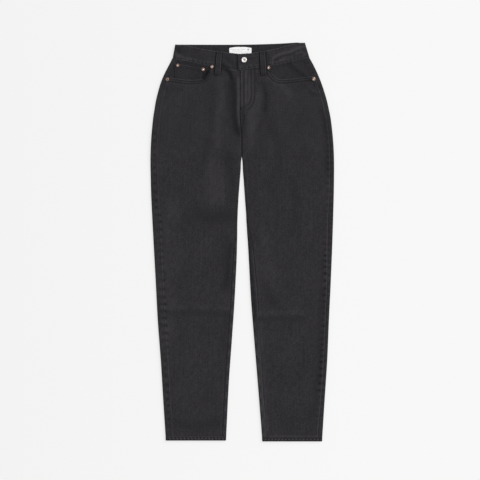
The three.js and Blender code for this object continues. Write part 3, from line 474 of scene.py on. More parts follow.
@dataclass
class Surface:
    """The garment's form on the page: heights, edges, folds and fine relief."""

    cloth: Cloth = CLOTH

    def underside(self, y: Points | float) -> Points:
        """Height of the cloth's underside, raised over the back pockets and loops."""
        return self.cloth.seat_lift * ease(y, 190, 222)

    def level(self, y: Points | float) -> Points:
        """Height of the upper side before folds."""
        return self.underside(y) + self.cloth.leg_height

    def front_inside(self, side: Side, y: Points | float) -> Points:
        """Inner edge of a front panel: fly and rise seam above the fork, leg edge below.

        Args:
            side: Which leg.
            y: Places up the page.

        Returns:
            Distances from the centre line, on the leg's own side.
        """
        underlap = 0.0
        if side.sign < 0:
            underlap = self.cloth.fly_underlap * ease(y, self.cloth.fly_end, self.cloth.fly_end + 12)
        seam = side.sign * FLY_LINE(y) + self.cloth.gap / 2 - underlap
        share = ease(y, 228, 240)
        return side.inside(y) * (1 - share) + seam * share

    def folds(self, x: Points, y: Points) -> Points:
        """Rise or sink of the main folds."""
        rise = np.zeros(np.shape(x))
        for fold in MAIN_FOLDS:
            distance, _ = path_distance(fold.path, x, y)
            rise += fold.rise * bell(distance, fold.width)
        return rise

    def fly_step(self, side: Side, x: Points, y: Points) -> Points:
        """Step of the lapped fly: the left front rises over the right one's underlap."""
        end = self.cloth.fly_end
        along = ease(y, end - self.cloth.fly_fade, end - self.cloth.fly_fade / 3)
        line = FLY_LINE(y)
        if side.sign < 0:
            return -self.cloth.underlap_sink * along * ease(x, line - 8, line - 1)
        reach = line + self.cloth.fly_underlap
        return self.cloth.overlap_rise * along * (1 - ease(x, reach + 2, reach + 18))

    def height(self, side: Side, x: Points, y: Points) -> Points:
        """Height of the upper side's outer face, with its folds."""
        x = np.asarray(x, dtype=float)
        y = np.asarray(y, dtype=float)
        outer = side.outside(y)
        inward = outer - side.sign * x
        from_inside = side.sign * x - self.front_inside(side, y)
        return self.level(y) + self.share(inward, from_inside, y) * self.relief(side, x, y)

    def share(self, inward: Points, from_inside: Points, y: Points) -> Points:
        """How much of the relief reaches a place, fading out at the leg's rounded edges."""
        inner = ease(from_inside, 0, EDGE_FADE)
        above = ease(y, self.cloth.slit_full, self.cloth.slit_top)
        return ease(inward, 0, EDGE_FADE) * (inner + (1 - inner) * above)

    def tone(self, x: Points, y: Points) -> Points:
        """Tone of the cloth: mottled, paler on the folds' crests, partly wear and partly painted highlight,
        darker in their troughs as painted shade, with the listed painted highlights and shade of TONES.

        Args:
            x: Places across the page.
            y: Places up the page.

        Returns:
            The tone, above 0 where it is paler.
        """
        total = 0.02 * smooth_noise(x, y, 60, 41, 1.6) + 0.03 * smooth_noise(x, y, 15, 42, 1.3)
        for fold in MAIN_FOLDS:
            distance, _ = path_distance(fold.path, x, y)
            # Crests paler, partly wear and partly painted highlight; troughs darker as painted shade.
            amount = 0.2 * min(fold.rise, 1.0) if fold.rise > 0 else 0.26 * max(fold.rise, -1.3)
            total = total + amount * bell(distance, fold.width * 1.2)
        # The listed painted highlights and painted shade.
        for patch in TONES:
            distance, _ = path_distance(patch.path, x, y)
            total = total + patch.rise * bell(distance, patch.width)
        return total

    def relief(self, side: Side, x: Points, y: Points) -> Points:
        """All the relief of the upper side: folds, fly step, soft ripples."""
        rise = self.folds(x, y) + self.fly_step(side, x, y)
        rise = rise + 0.10 * smooth_noise(x, y, 34, 11, 2.2) + 0.05 * smooth_noise(x, y, 12, 12, 1.8)
        return rise


SURFACE = Surface()


class SectionPath:
    """A path in a leg's section, read by length: distance in from the outer edge, and height."""

    def __init__(self, points: Points, turn: int) -> None:
        """Keeps the path.

        Args:
            points: Corners as rows of distance in and height.
            turn: 1 over the top and -1 under the bottom, which sets the inside's direction.
        """
        self.points = points
        self.turn = turn
        steps = np.hypot(*np.diff(points, axis=0).T)
        self.lengths = np.concatenate([[0.0], np.cumsum(steps)])
        self.total = float(self.lengths[-1])

    def at(self, length: Points) -> Points:
        """Points at lengths along the path, as rows."""
        across = np.interp(length, self.lengths, self.points[:, 0])
        return join(across, np.interp(length, self.lengths, self.points[:, 1]))

    def read(self, length: Points) -> Points:
        """Rows of distance in, height, and the two parts of the direction to the inside."""
        place = np.clip(length, 0, self.total)
        reach = np.maximum(0.05, np.minimum(0.6, np.minimum(place, self.total - place)))
        run = self.at(place + reach) - self.at(place - reach)
        run /= np.hypot(run[:, 0], run[:, 1])[:, None]
        normal = join(self.turn * run[:, 1], -self.turn * run[:, 0])
        return np.concatenate([self.at(place), normal], axis=1)


def arc(centre: Place, radius: float, start: float, end: float, steps: int = 14) -> Points:
    """Points along a circle's arc, as rows."""
    angles = np.linspace(start, end, steps)
    return join(centre[0] + radius * np.cos(angles), centre[1] + radius * np.sin(angles))


def curl(width: float, level: float, angle: float, up: int) -> Points:
    """The bend at a panel's inner end.

    Args:
        width: Width of the section.
        level: Height of the flat part.
        angle: How far the last stretch is bent.
        up: 1 to bend up and -1 to bend down.

    Returns:
        Points of the bend, as rows.
    """
    length = CLOTH.edge_radius * math.pi / 2
    if angle < 0.02:
        return np.array([[width - length, level], [width, level]])
    radius = length / angle
    turns = np.linspace(0, angle, 14)
    start = width - radius * math.sin(angle)
    return join(start + radius * np.sin(turns), level + up * radius * (1 - np.cos(turns)))


def upper_path(side: Side, y: float) -> SectionPath:
    """Upper half of a leg's section, without folds."""
    width = float(side.outside(y) - SURFACE.front_inside(side, y))
    level = float(SURFACE.level(y))
    radius = CLOTH.edge_radius
    bend = math.pi / 2 * (1 - float(ease(y, CLOTH.slit_full, CLOTH.slit_top)))
    start = arc((radius, level - radius), radius, math.pi, math.pi / 2)
    return SectionPath(np.concatenate([start, curl(width, level, bend, -1)]), 1)


def lower_path(side: Side, y: float) -> SectionPath:
    """Lower half of a leg's section, which closes on the other leg's above the fork."""
    closed = 0.3 * float(ease(y, CLOTH.fork, CLOTH.fork + 6))
    width = float(side.outside(y) - side.inside(y)) + closed
    level = float(SURFACE.underside(y))
    radius = CLOTH.edge_radius
    bend = math.pi / 2 * (1 - float(ease(y, CLOTH.fork + 4, CLOTH.back_curl_top)))
    start = arc((radius, level + radius), radius, math.pi, 1.5 * math.pi)
    return SectionPath(np.concatenate([start, curl(width, level, bend, 1)]), -1)


def seam_length(inset: float) -> float:
    """Length over a rounded edge to a seam that lies so far in from the edge."""
    radius = CLOTH.edge_radius
    if inset >= radius:
        return radius * math.pi / 2 + inset - radius
    return radius * math.acos(1 - max(inset, 0.0) / radius)


class Band(Enum):
    """Which part of a leg's section a panel covers."""

    FRONT = "front"
    BACK = "back"
    WHOLE = "whole"


FAR = 99.0
BACK_SHARES = (0.0, 0.26, 0.74, 1.0)
WHOLE_SHARES = (0.0, 0.1, 0.4, 0.5, 0.6, 0.9, 1.0)


def section_row(side: Side, y: float, band: Band, across: Points) -> Points:
    """One row of a panel's base form.

    Args:
        side: Which leg.
        y: Place up the page.
        band: Part of the section.
        across: Shares across the panel, from the outseam inwards.

    Returns:
        Rows of distance in, height, inside direction, and 1 where the place is on the upper side.
    """
    upper = upper_path(side, y)
    lower = lower_path(side, y)
    over = seam_length(float(side.outseam(y)))
    up_inside = seam_length(float(side.inseam(min(y, CLOTH.fork))))
    quarter = CLOTH.edge_radius * math.pi / 2
    half_gap = CLOTH.gap / 2
    if band is Band.FRONT:
        rows = upper.read(over + half_gap + (upper.total - up_inside - over - 2 * half_gap) * across)
        return np.concatenate([rows, np.ones((len(rows), 1))], axis=1)
    if band is Band.BACK:
        first = over - half_gap
        last = up_inside - half_gap
        marks = [0, first + quarter, first + lower.total - quarter, first + lower.total + last]
        place = np.interp(across, BACK_SHARES, marks)
        rows = np.where(
            (place < first)[:, None],
            upper.read(first - place),
            np.where(
                (place <= first + lower.total)[:, None],
                lower.read(place - first),
                upper.read(upper.total - (place - first - lower.total)),
            ),
        )
        on_top = (place < first) | (place > first + lower.total)
        return np.concatenate([rows, on_top[:, None].astype(float)], axis=1)
    top = upper.total
    marks = [0, quarter, top - quarter, top, top + quarter, top + lower.total - quarter, top + lower.total]
    place = np.interp(across, WHOLE_SHARES, marks)
    rows = np.where((place < top)[:, None], upper.read(place), lower.read(top + lower.total - place))
    return np.concatenate([rows, (place < top)[:, None].astype(float)], axis=1)


class PanelForm:
    """A panel's base form, read at any share across and any height up the page."""

    step = 2.0

    def __init__(self, side: Side, band: Band, top: float, bottom: float, columns: int) -> None:
        """Works out the rows of the form.

        Args:
            side: Which leg.
            band: Part of the section.
            top: Highest row.
            bottom: Lowest row.
            columns: Number of places kept in each row.
        """
        self.side = side
        self.bottom = bottom
        self.heights = np.arange(bottom, top + self.step, self.step)
        self.across = np.linspace(0, 1, columns)
        self.table = np.stack([section_row(side, float(y), band, self.across) for y in self.heights])

    def read(self, share: Points, y: Points) -> Points:
        """Interpolates the form.

        Args:
            share: Shares across the panel.
            y: Heights up the page.

        Returns:
            The form's columns, added as a last axis.
        """
        row = np.clip((y - self.bottom) / self.step, 0, len(self.heights) - 1.001)
        column = np.clip(share * (len(self.across) - 1), 0, len(self.across) - 1.001)
        row_index = row.astype(int)
        column_index = column.astype(int)
        down = (row - row_index)[..., None]
        over = (column - column_index)[..., None]
        low, high = (
            self.table[index, column_index] * (1 - over) + self.table[index, column_index + 1] * over
            for index in (row_index, row_index + 1)
        )
        return low * (1 - down) + high * down

    def page_x(self, share: Points, y: Points) -> Points:
        """Places across the page for shares across the panel."""
        return self.side.sign * (self.side.outside(y) - self.read(share, y)[..., 0])

    def share_at(self, x: Points, y: Points) -> Points:
        """Shares across the front panel for places on the page."""
        shares = np.linspace(0, 1, 240)
        result = np.empty(np.shape(x))
        for index, (place_x, place_y) in enumerate(zip(np.ravel(x), np.ravel(y))):
            row = self.page_x(shares, np.full_like(shares, place_y)) * -self.side.sign
            result.flat[index] = np.interp(place_x * -self.side.sign, row, shares)
        return result


class MeshMaker:
    """Turns grids in millimetres on the page into meshes in the frame."""

    def __init__(self) -> None:
        """Finds the page's place in the frame from the button."""
        low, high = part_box("button")
        self.shift = np.array([
            (low[0] + high[0]) / 2 - BUTTON_PLACE[0] * MM,
            (low[1] + high[1]) / 2 - BUTTON_PLACE[1] * MM,
            0.0,
        ])

    def box(self, node: str) -> tuple[Points, Points]:
        """A solid's box on the page, as its low and high corner."""
        low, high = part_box(node)
        return (np.array(low) - self.shift) / MM, (np.array(high) - self.shift) / MM

    def place(self, points: Points) -> Points:
        """Moves points from the page to the frame."""
        return np.asarray(points, dtype=float) * MM + self.shift

    def mesh(self, name: str, points: Points, faces: list | Points, wear_and_shading: Points | None = None) -> Piece:
        """Makes a mesh object from points and faces.

        Args:
            name: The piece's name.
            points: Points on the page, as rows.
            faces: Corner numbers of each face.
            wear_and_shading: A number for each point, kept for the cloth's finish: above 0 paler, for wear
                and painted highlights, below 0 darker, for painted shade.

        Returns:
            The new object.
        """
        mesh = bpy.data.meshes.new(name)
        mesh.from_pydata(self.place(points).tolist(), [], [tuple(int(i) for i in face) for face in faces])
        mesh.validate()
        if wear_and_shading is not None:
            attribute = mesh.attributes.new("wear_and_shading", "FLOAT", "POINT")
            attribute.data.foreach_set("value", np.asarray(wear_and_shading, dtype=np.float32).ravel())
        mesh.shade_smooth()
        piece = bpy.data.objects.new(name, mesh)
        bpy.context.scene.collection.objects.link(piece)
        return piece

    def shell(self, name: str, outer: Points, inner: Points, wear_and_shading: Points | None = None) -> Piece:
        """Closes two grids of the same size into a thin wall.

        Args:
            name: The piece's name.
            outer: Points of the outer face as rows, columns and coordinates.
            inner: Points of the inner face.
            wear_and_shading: A number for each point of the outer face, of wear and painted light and shade.

        Returns:
            The wall as an object.
        """
        rows, columns = outer.shape[:2]
        count = rows * columns
        number = np.arange(count).reshape(rows, columns)
        front = join(number[:-1, :-1], number[1:, :-1], number[1:, 1:], number[:-1, 1:]).reshape(-1, 4)
        back = front[:, ::-1] + count
        rim = np.concatenate([number[0, :], number[1:, -1], number[-1, -2::-1], number[-2:0:-1, 0]])
        follow = np.roll(rim, -1)
        edge = join(rim, follow, follow + count, rim + count)
        faces = np.concatenate([front, back, edge])
        points = np.concatenate([outer.reshape(-1, 3), inner.reshape(-1, 3)])
        if self.volume(points, faces) < 0:
            faces = faces[:, ::-1]
        both = None if wear_and_shading is None else np.concatenate([wear_and_shading.ravel(), np.zeros(count)])
        return self.mesh(name, points, faces, both)

    def tube(self, name: str, rings: Points, wear_and_shading: Points | None = None, closed: bool = False) -> Piece:
        """Joins closed rings into a body, with flat ends or joined end to end.

        Args:
            name: The piece's name.
            rings: Points as rings, points around and coordinates.
            wear_and_shading: A number for each point, of wear and painted light and shade.
            closed: Whether the last ring joins the first.

        Returns:
            The body as an object.
        """
        count, around = rings.shape[:2]
        number = np.arange(count * around).reshape(count, around)
        if closed:
            number = np.concatenate([number, number[:1]])
        following = np.roll(number, -1, axis=1)
        faces = join(number[:-1], following[:-1], following[1:], number[1:]).reshape(-1, 4).tolist()
        points = rings.reshape(-1, 3)
        if self.volume(points, np.array(faces)) < 0:
            faces = [face[::-1] for face in faces]
        if not closed:
            first, last = number[0].tolist(), number[-1].tolist()
            turned = faces[0][0] != number[0][0]
            faces += [first, last[::-1]] if turned else [first[::-1], last]
        return self.mesh(name, points, faces, wear_and_shading)

    @staticmethod
    def volume(points: Points, faces: Points) -> float:
        """Signed volume of a mesh of four-cornered faces."""
        centred = points - points.mean(axis=0)
        a, b, c, d = (centred[faces[:, i]] for i in range(4))
        first = np.einsum("ij,ij->i", a, np.cross(b, c))
        second = np.einsum("ij,ij->i", a, np.cross(c, d))
        return float((first + second).sum())


class Paint:
    """One procedural material, built on the object's own coordinates."""

    def __init__(self, name: str) -> None:
        """Starts the material.

        Args:
            name: The material's name.
        """
        self.material = bpy.data.materials.new(name)
        self.material.use_nodes = True
        self.tree = self.material.node_tree
        self.shader = self.tree.nodes["Principled BSDF"]
        self.place = self.tree.nodes.new("ShaderNodeTexCoord").outputs["Object"]

    def node(self, kind: str, wires: dict, values: dict | None = None) -> bpy.types.Node:
        """Adds a node.

        Args:
            kind: Its type, without the word that all shader nodes start with.
            wires: The value that goes into each wired input.
            values: Plain values of other inputs.

        Returns:
            The node.
        """
        node = self.tree.nodes.new(f"ShaderNode{kind}")
        for label, value in (values or {}).items():
            node.inputs[label].default_value = value
        for label, value in wires.items():
            self.tree.links.new(value, node.inputs[label])
        return node

    def texture(self, kind: str, scale: Scale, values: dict, turn: float = 0.0) -> bpy.types.Node:
        """Adds a texture.

        Args:
            kind: The texture's type.
            scale: Repeats a metre along each axis.
            values: Its other settings.
            turn: How far the pattern is turned about Z.

        Returns:
            The texture's node.
        """
        mapping = self.node("Mapping", {"Vector": self.place}, {"Scale": scale, "Rotation": (0, 0, turn)})
        return self.node(kind, {"Vector": mapping.outputs["Vector"]}, {"Scale": 1.0, **values})

    def noise(self, scale: Scale, detail: float) -> Socket:
        """Adds a noise of so many waves a metre along each axis."""
        return self.texture("TexNoise", scale, {"Detail": detail}).outputs["Fac"]

    def bands(self, direction: str, pitch: float, turn: float = 0.0, **values: float) -> Socket:
        """Adds parallel ribs.

        Args:
            direction: The axis that they follow one another along.
            pitch: Millimetres from rib to rib.
            turn: How far they are turned about Z.
            values: Their other settings.

        Returns:
            The ribs' value.
        """
        number = 2 * math.pi / (pitch * MM) / 20
        labels = {label.replace("_", " ").title(): value for label, value in values.items()}
        wave = self.texture("TexWave", (number,) * 3, labels, turn)
        wave.bands_direction = direction
        return wave.outputs["Fac"]

    def maths(self, operation: str, first: Socket, second: Socket | float) -> Socket:
        """Joins two values, or a value and a number.

        Args:
            operation: The mathematical operation.
            first: The first value.
            second: The second value, or a plain number.

        Returns:
            The result.
        """
        wired = not isinstance(second, float)
        wires = {0: first, 1: second} if wired else {0: first}
        node = self.node("Math", wires, None if wired else {1: second})
        node.operation = operation
        return node.outputs[0]

    def mixture(self, *parts: tuple[Socket, float]) -> Socket:
        """Adds up values, each times its share."""
        scaled = [self.maths("MULTIPLY", value, share) for value, share in parts]
        return functools.reduce(lambda total, part: self.maths("ADD", total, part), scaled)

    def ramp(self, value: Socket, low: Color, high: Color, ends: tuple = (0.0, 1.0)) -> None:
        """Colours the material by a value.

        Args:
            value: The value.
            low: Colour at the lower end.
            high: Colour at the upper end.
            ends: The value at each end.
        """
        ramp = self.node("ValToRGB", {"Fac": value})
        for element, position, color in zip(ramp.color_ramp.elements, ends, (low, high)):
            element.position = position
            element.color = (*color, 1)
        self.tree.links.new(ramp.outputs["Color"], self.shader.inputs["Base Color"])

    def tint(self, share: Socket, color: Color) -> None:
        """Mixes a colour over what the material has.

        Args:
            share: How much of the colour shows.
            color: The colour.
        """
        under = self.shader.inputs["Base Color"].links[0].from_socket
        mix = self.tree.nodes.new("ShaderNodeMix")
        mix.data_type = "RGBA"
        mix.inputs["B"].default_value = (*color, 1)
        self.tree.links.new(share, mix.inputs["Factor"])
        self.tree.links.new(under, mix.inputs["A"])
        self.tree.links.new(mix.outputs["Result"], self.shader.inputs["Base Color"])

    def finish(
        self, values: dict, height: Socket | None = None, depth: float = 0.0, strength: float = 0.0
    ) -> Finish:
        """Sets the shader's plain values and its fine relief.

        Args:
            values: The values.
            height: The relief's height.
            depth: The relief's depth in millimetres.
            strength: How strongly the relief shows.

        Returns:
            The material.
        """
        for label, value in values.items():
            self.shader.inputs[label].default_value = value
        if height:
            bump = self.node("Bump", {"Height": height}, {"Distance": depth * MM, "Strength": strength})
            self.tree.links.new(bump.outputs["Normal"], self.shader.inputs["Normal"])
        return self.material


@dataclass(frozen=True)
class Denim:
    """Washed black denim: a matte twill with slubs up the warp, soft mottle, paler ridges that are partly
    worn and partly painted highlight, and painted shade in the troughs.
    """

    name: str = "washed_black_denim"
    dark: Color = (0.0150, 0.0138, 0.0156)
    pale: Color = (0.0345, 0.0322, 0.0362)
    worn_and_lit: Color = (0.078, 0.073, 0.079)
    shade: Color = (0.006, 0.0055, 0.0065)
    twill_pitch: float = 0.8
    twill_turn: float = 28.0
    twill_depth: float = 0.10

    def make(self) -> Finish:
        """Builds the material, which a point attribute of wear and painted light makes paler above 0, for
        wear and painted highlights, and darker below it, for painted shade.

        Returns:
            The material.
        """
        paint = Paint(self.name)
        turn = math.radians(self.twill_turn)
        twill = paint.bands("X", self.twill_pitch, turn, distortion=0.6, detail_scale=2.0)
        slub = paint.noise((420, 16, 420), 2.0)
        mottle = paint.noise((30, 22, 30), 3.0)
        grain = paint.noise((420, 330, 420), 3.0)
        fuzz = paint.noise((1700, 1700, 1700), 2.0)
        cloud = paint.mixture((slub, 0.2), (mottle, 0.12), (twill, 0.08), (grain, 0.6))
        paint.ramp(cloud, self.dark, self.pale, (0.36, 0.64))
        wear_and_shading = paint.node("Attribute", {})
        wear_and_shading.attribute_name = "wear_and_shading"
        # Above 0 the attribute mixes in the pale colour, for wear and painted highlights; below 0 it mixes in
        # the dark shade colour, for painted shade.
        paint.tint(wear_and_shading.outputs["Fac"], self.worn_and_lit)
        paint.tint(paint.maths("MULTIPLY", wear_and_shading.outputs["Fac"], -1.0), self.shade)
        values = {"Roughness": 0.93, "Specular IOR Level": 0.12, "Sheen Weight": 0.03, "Sheen Roughness": 0.6}
        return paint.finish(values, paint.mixture((twill, 0.6), (fuzz, 0.4)), self.twill_depth, 0.6)


@dataclass(frozen=True)
class Yarn:
    """Sewing thread: twisted, slightly glossy."""

    name: str
    color: Color

    def make(self) -> Finish:
        """Builds the material.

        Returns:
            The material.
        """
        paint = Paint(self.name)
        twist = paint.noise((2600, 2600, 2600), 1.0)
        low, high = (tuple(channel * share for channel in self.color) for share in (0.75, 1.3))
        paint.ramp(twist, low, high)
        return paint.finish({"Roughness": 0.7, "Specular IOR Level": 0.25}, twist, 0.05, 0.4)


@dataclass(frozen=True)
class Metal:
    """Metal of the button and rivets, with fine brushing and darker tarnish."""

    name: str
    color: Color
    tarnish: Color
    roughness: float
    metallic: float = 1.0

    def make(self) -> Finish:
        """Builds the material.

        Returns:
            The material.
        """
        paint = Paint(self.name)
        stain = paint.noise((420, 420, 420), 4.0)
        paint.ramp(stain, self.tarnish, self.color, (0.32, 0.62))
        return paint.finish({"Metallic": self.metallic, "Roughness": self.roughness}, stain, 0.03, 0.25)


@dataclass(frozen=True)
class Tape:
    """Woven tape with fine ribs."""

    name: str
    color: Color
    rib: float = 0.45

    def make(self) -> Finish:
        """Builds the material.

        Returns:
            The material.
        """
        paint = Paint(self.name)
        ribs = paint.bands("Y", self.rib)
        paint.ramp(ribs, tuple(channel * 0.93 for channel in self.color), self.color)
        return paint.finish({"Roughness": 0.85}, ribs, 0.06, 0.4)


def made(kind: type, *values: object) -> Finish:
    """A dataclass field that makes a finish of a kind from its values."""
    return field(default_factory=lambda: kind(*values).make())


@dataclass
class Finishes:
    """All the finishes, made once."""

    denim: Finish = made(Denim)
    thread: Finish = made(Yarn, "black_thread", (0.022, 0.021, 0.024))
    nickel: Finish = made(Metal, "polished_nickel", (0.95, 0.935, 0.92), (0.8, 0.78, 0.77), 0.3, 0.35)
    # Pale copper of the rivet nubs: partly worn bright, partly a painted highlight.
    worn_copper: Finish = made(Metal, "worn_copper", (0.9, 0.83, 0.81), (0.62, 0.5, 0.46), 0.35, 0.5)
    copper: Finish = made(Metal, "antique_copper", (0.38, 0.27, 0.22), (0.12, 0.08, 0.065), 0.42)
    label: Finish = made(Tape, "white_tape", (0.98, 0.98, 0.975))
    grey_yarn: Finish = made(Yarn, "grey_yarn", (0.34, 0.34, 0.35))
    zip_tape: Finish = made(Tape, "black_tape", (0.012, 0.012, 0.013))


@dataclass(frozen=True)
class Cut:
    """What a piece of cloth is cut to where it shows: sides and area in metres, and what it lies on."""

    wide: float
    long: float
    area: float
    rests_on: tuple[str, ...] = ()


@dataclass
class Dresser:
    """Gives each piece its material and its body, and hides the solid that it stands for."""

    maker: MeshMaker
    finishes: Finishes

    def dress(
        self,
        piece: Piece,
        material: Finish,
        slot: str,
        nodes: tuple[str, ...] = (),
        with_pieces: tuple[Piece, ...] = (),
    ) -> Piece:
        """Args:
            piece: The piece.
            material: Its finish.
            slot: Not used.
            nodes: Solids that it stands for.
            with_pieces: Not used.

        Returns:
            The piece.
        """
        piece.data.materials.clear()
        piece.data.materials.append(material)
        if nodes:
            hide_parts(*nodes)
        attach(piece, BODY)
        LOG.info("%s: %d faces", piece.name, len(piece.data.polygons))
        return piece

    def wall(self, node: str, outer: Points, inner: Points, wear_and_shading: Points) -> None:
        """Makes a panel of denim from its two faces, for the solid of that name."""
        piece = self.maker.shell(f"{node}_cloth", outer, inner, wear_and_shading)
        self.dress(piece, self.finishes.denim, "denim", (node,))

    def strip(self, node: str, rings: Points, wear_and_shading: Points | None = None, closed: bool = False) -> None:
        """Makes a strip of denim from its rings, for the solid of that name."""
        piece = self.maker.tube(f"{node}_cloth", rings, wear_and_shading, closed)
        self.dress(piece, self.finishes.denim, "denim", (node,))


@dataclass
class LegPanels:
    """The front and back panels, yokes and hems of both legs."""

    dresser: Dresser
    front_columns: int = 92
    row_step: float = 3.0
    groove: float = 0.2
    forms: dict[tuple[str, Band], PanelForm] = field(default_factory=dict)

    def form(self, side: Side, band: Band) -> PanelForm:
        """The base form of a side's panels, worked out once."""
        key = (side.name, band)
        if key not in self.forms:
            columns = {Band.FRONT: 110, Band.BACK: 140, Band.WHOLE: 160}[band]
            top = side.hem_line + 16 if band is Band.WHOLE else 462
            self.forms[key] = PanelForm(side, band, top, side.hem_line - 2, columns)
        return self.forms[key]

    @staticmethod
    def points(form: PanelForm, share: Points, y: Points, extra: Points) -> tuple[Points, Points]:
        """Places a panel's two faces.

        Args:
            form: Its base form.
            share: Shares across.
            y: Heights up the page.
            extra: Relief of this panel alone, outwards.

        Returns:
            Outer and inner points.
        """
        side = form.side
        base = form.read(share, y)
        x = side.sign * (side.outside(y) - base[..., 0])
        on_top = np.clip(base[..., 4] * 2 - 1, 0, 1)
        from_inside = side.sign * x - SURFACE.front_inside(side, y)
        lift = SURFACE.share(base[..., 0], from_inside, y) * SURFACE.relief(side, x, y) * on_top
        size = np.maximum(np.hypot(base[..., 2], base[..., 3]), 1e-6)
        normal_x = -side.sign * base[..., 2] / size
        normal_z = base[..., 3] / size
        outer = join(x - normal_x * extra, y, base[..., 1] + lift - normal_z * extra)
        inner = outer + CLOTH.wall * join(normal_x, 0.0, normal_z)
        return outer, inner

    def front_top(self, side: Side, scoop: Curve) -> Points:
        """The front panel's upper edge from the outseam round the pocket mouth to the fly.

        Args:
            side: Which leg.
            scoop: The pocket mouth's edge.

        Returns:
            Page points, evenly spaced, as rows.
        """
        end_y = scoop[-1][1]
        outseam_x = side.sign * float(side.outside(end_y) - side.outseam(end_y) - CLOTH.gap / 2)
        mouth = smooth_curve([(outseam_x, end_y + 0.1), *reversed(scoop)])
        end_x = side.sign * float(SURFACE.front_inside(side, 428))
        across = np.linspace(mouth[-1, 0], end_x, 60)[1:]
        waist = join(across, BAND_LOW_FRONT(across) - CLOTH.gap)
        return resample(np.concatenate([mouth[:-1], waist]), self.front_columns)

    def front(self, side: Side, scoop: Curve) -> None:
        """Makes a front panel with its scooped pocket mouth.

        Args:
            side: Which leg.
            scoop: The pocket mouth's edge.
        """
        form = self.form(side, Band.FRONT)
        top = self.front_top(side, scoop)
        top_share = form.share_at(top[:, 0], top[:, 1])
        bottom = side.panel_bottom
        length = FRONT_TOP - bottom
        even = np.linspace(6.5, length - 1.5, int(length / self.row_step))
        down = np.concatenate([[0, 0.5, 1.1, 1.9, 3.0, 4.5], even, [length]]) / length
        blend = ease(down, 0, 0.11)[:, None]
        share = top_share[None, :] * (1 - blend) + np.linspace(0, 1, self.front_columns)[None, :] * blend
        y = top[:, 1][None, :] * (1 - down[:, None]) + bottom * down[:, None]
        x = form.page_x(share, y)
        edge = length * down[:, None] + 0 * x
        extra, wear_and_shading = self.seam_relief(side, Band.FRONT, share, x, y)
        groove, seam_shading = self.sewn(side, x, y)
        extra = extra - 0.4 * np.clip(1 - edge / 1.4, 0, 1) ** 2 + groove
        # Paler along the cut edge, plus the sewn rows' painted shade and highlight.
        wear_and_shading = wear_and_shading + 0.55 * bell(edge, 1.5) + seam_shading
        self.dresser.wall(f"front_{side.name}", *self.points(form, share, y, extra), wear_and_shading)

    @staticmethod
    def sewn(side: Side, x: Points, y: Points) -> tuple[Points, Points]:
        """Grooves along the sewn rows of a front panel, with painted shade in their dimples and a painted
        highlight beside them.

        Args:
            side: Which leg.
            x: Places across the page.
            y: Places up the page.

        Returns:
            Relief outwards, and tone: that painted shade and highlight, with the painted shade beside the
                belt loops.
        """
        relief = np.zeros_like(x)
        tone = np.zeros_like(x)
        near = y > 255
        for path in front_rows(side):
            distance, along = path_distance([tuple(point) for point in path[::4]], x[near], y[near])
            row = bell(distance, 1.6)
            dimple = 0.75 + 0.25 * np.sin(2 * math.pi * along / 6.6)
            relief[near] -= 0.28 * row * dimple
            # Painted shade along the row's dimples, and a painted highlight beside it.
            tone[near] -= 0.62 * row * dimple
            tone[near] += 0.16 * bell(distance - 2.7, 1.1)
        return relief, tone + loop_shade(x, y)

    def seam_relief(
        self, side: Side, band: Band, share: Points, x: Points, y: Points
    ) -> tuple[Points, Points]:
        """Grooves at the seams, puckers beside them, and the panel's tone: worn crests, painted highlights
        and painted shade.

        Args:
            side: Which leg.
            band: Front or back.
            share: Shares across the panel.
            x: Places across the page.
            y: Places up the page.

        Returns:
            Relief outwards, and tone of wear with painted highlights and shade.
        """
        inward = side.outside(y) - side.sign * x
        from_seam = inward - side.outseam(y)
        if band is Band.BACK:
            from_seam = np.where(share < BACK_SHARES[1] * 0.8, from_seam, FAR)
        distance = np.abs(from_seam)
        relief = -self.groove * bell(distance, 1.0)
        wear_and_shading = SURFACE.tone(x, y)
        if band is Band.FRONT:
            relief = relief + 0.35 * bell(distance - 1.8, 1.3)
            wear_and_shading = wear_and_shading + 0.42 * bell(distance - 1.2, 1.4)
        for pucker in PUCKERS:
            if pucker.side == side.name and pucker.band is band:
                ripple, crest = pucker.read(distance, y)
                relief = relief + ripple
                wear_and_shading = wear_and_shading + crest
        if band is Band.FRONT:
            relief = relief + self.inner_relief(side, x, y)
        else:
            strip, tone = self.fell(side, share, x, y)
            relief = relief + strip
            wear_and_shading = wear_and_shading + tone
        return relief, wear_and_shading + HEM_ROW_HIGHLIGHT * hem_row(y)

    def inner_relief(self, side: Side, x: Points, y: Points) -> Points:
        """Groove along a front panel's inseam and rise, and the fly's raised edges.

        Args:
            side: Which leg.
            x: Places across the page.
            y: Places up the page.

        Returns:
            Relief outwards.
        """
        to_inside = side.sign * x - SURFACE.front_inside(side, y)
        inset = side.inseam(np.minimum(y, CLOTH.fork))
        distance = np.where(y < CLOTH.fork, np.abs(to_inside - inset), np.abs(to_inside))
        relief = -self.groove * bell(distance, 1.3)
        if side.sign > 0:
            from_fly = x - FLY_LINE(y)
            ridges = 0.3 * bell(from_fly - 3, 1.8) + 0.35 * bell(from_fly - 13, 2.2)
            relief = relief + ease(y, 312, 330) * ridges
        return relief

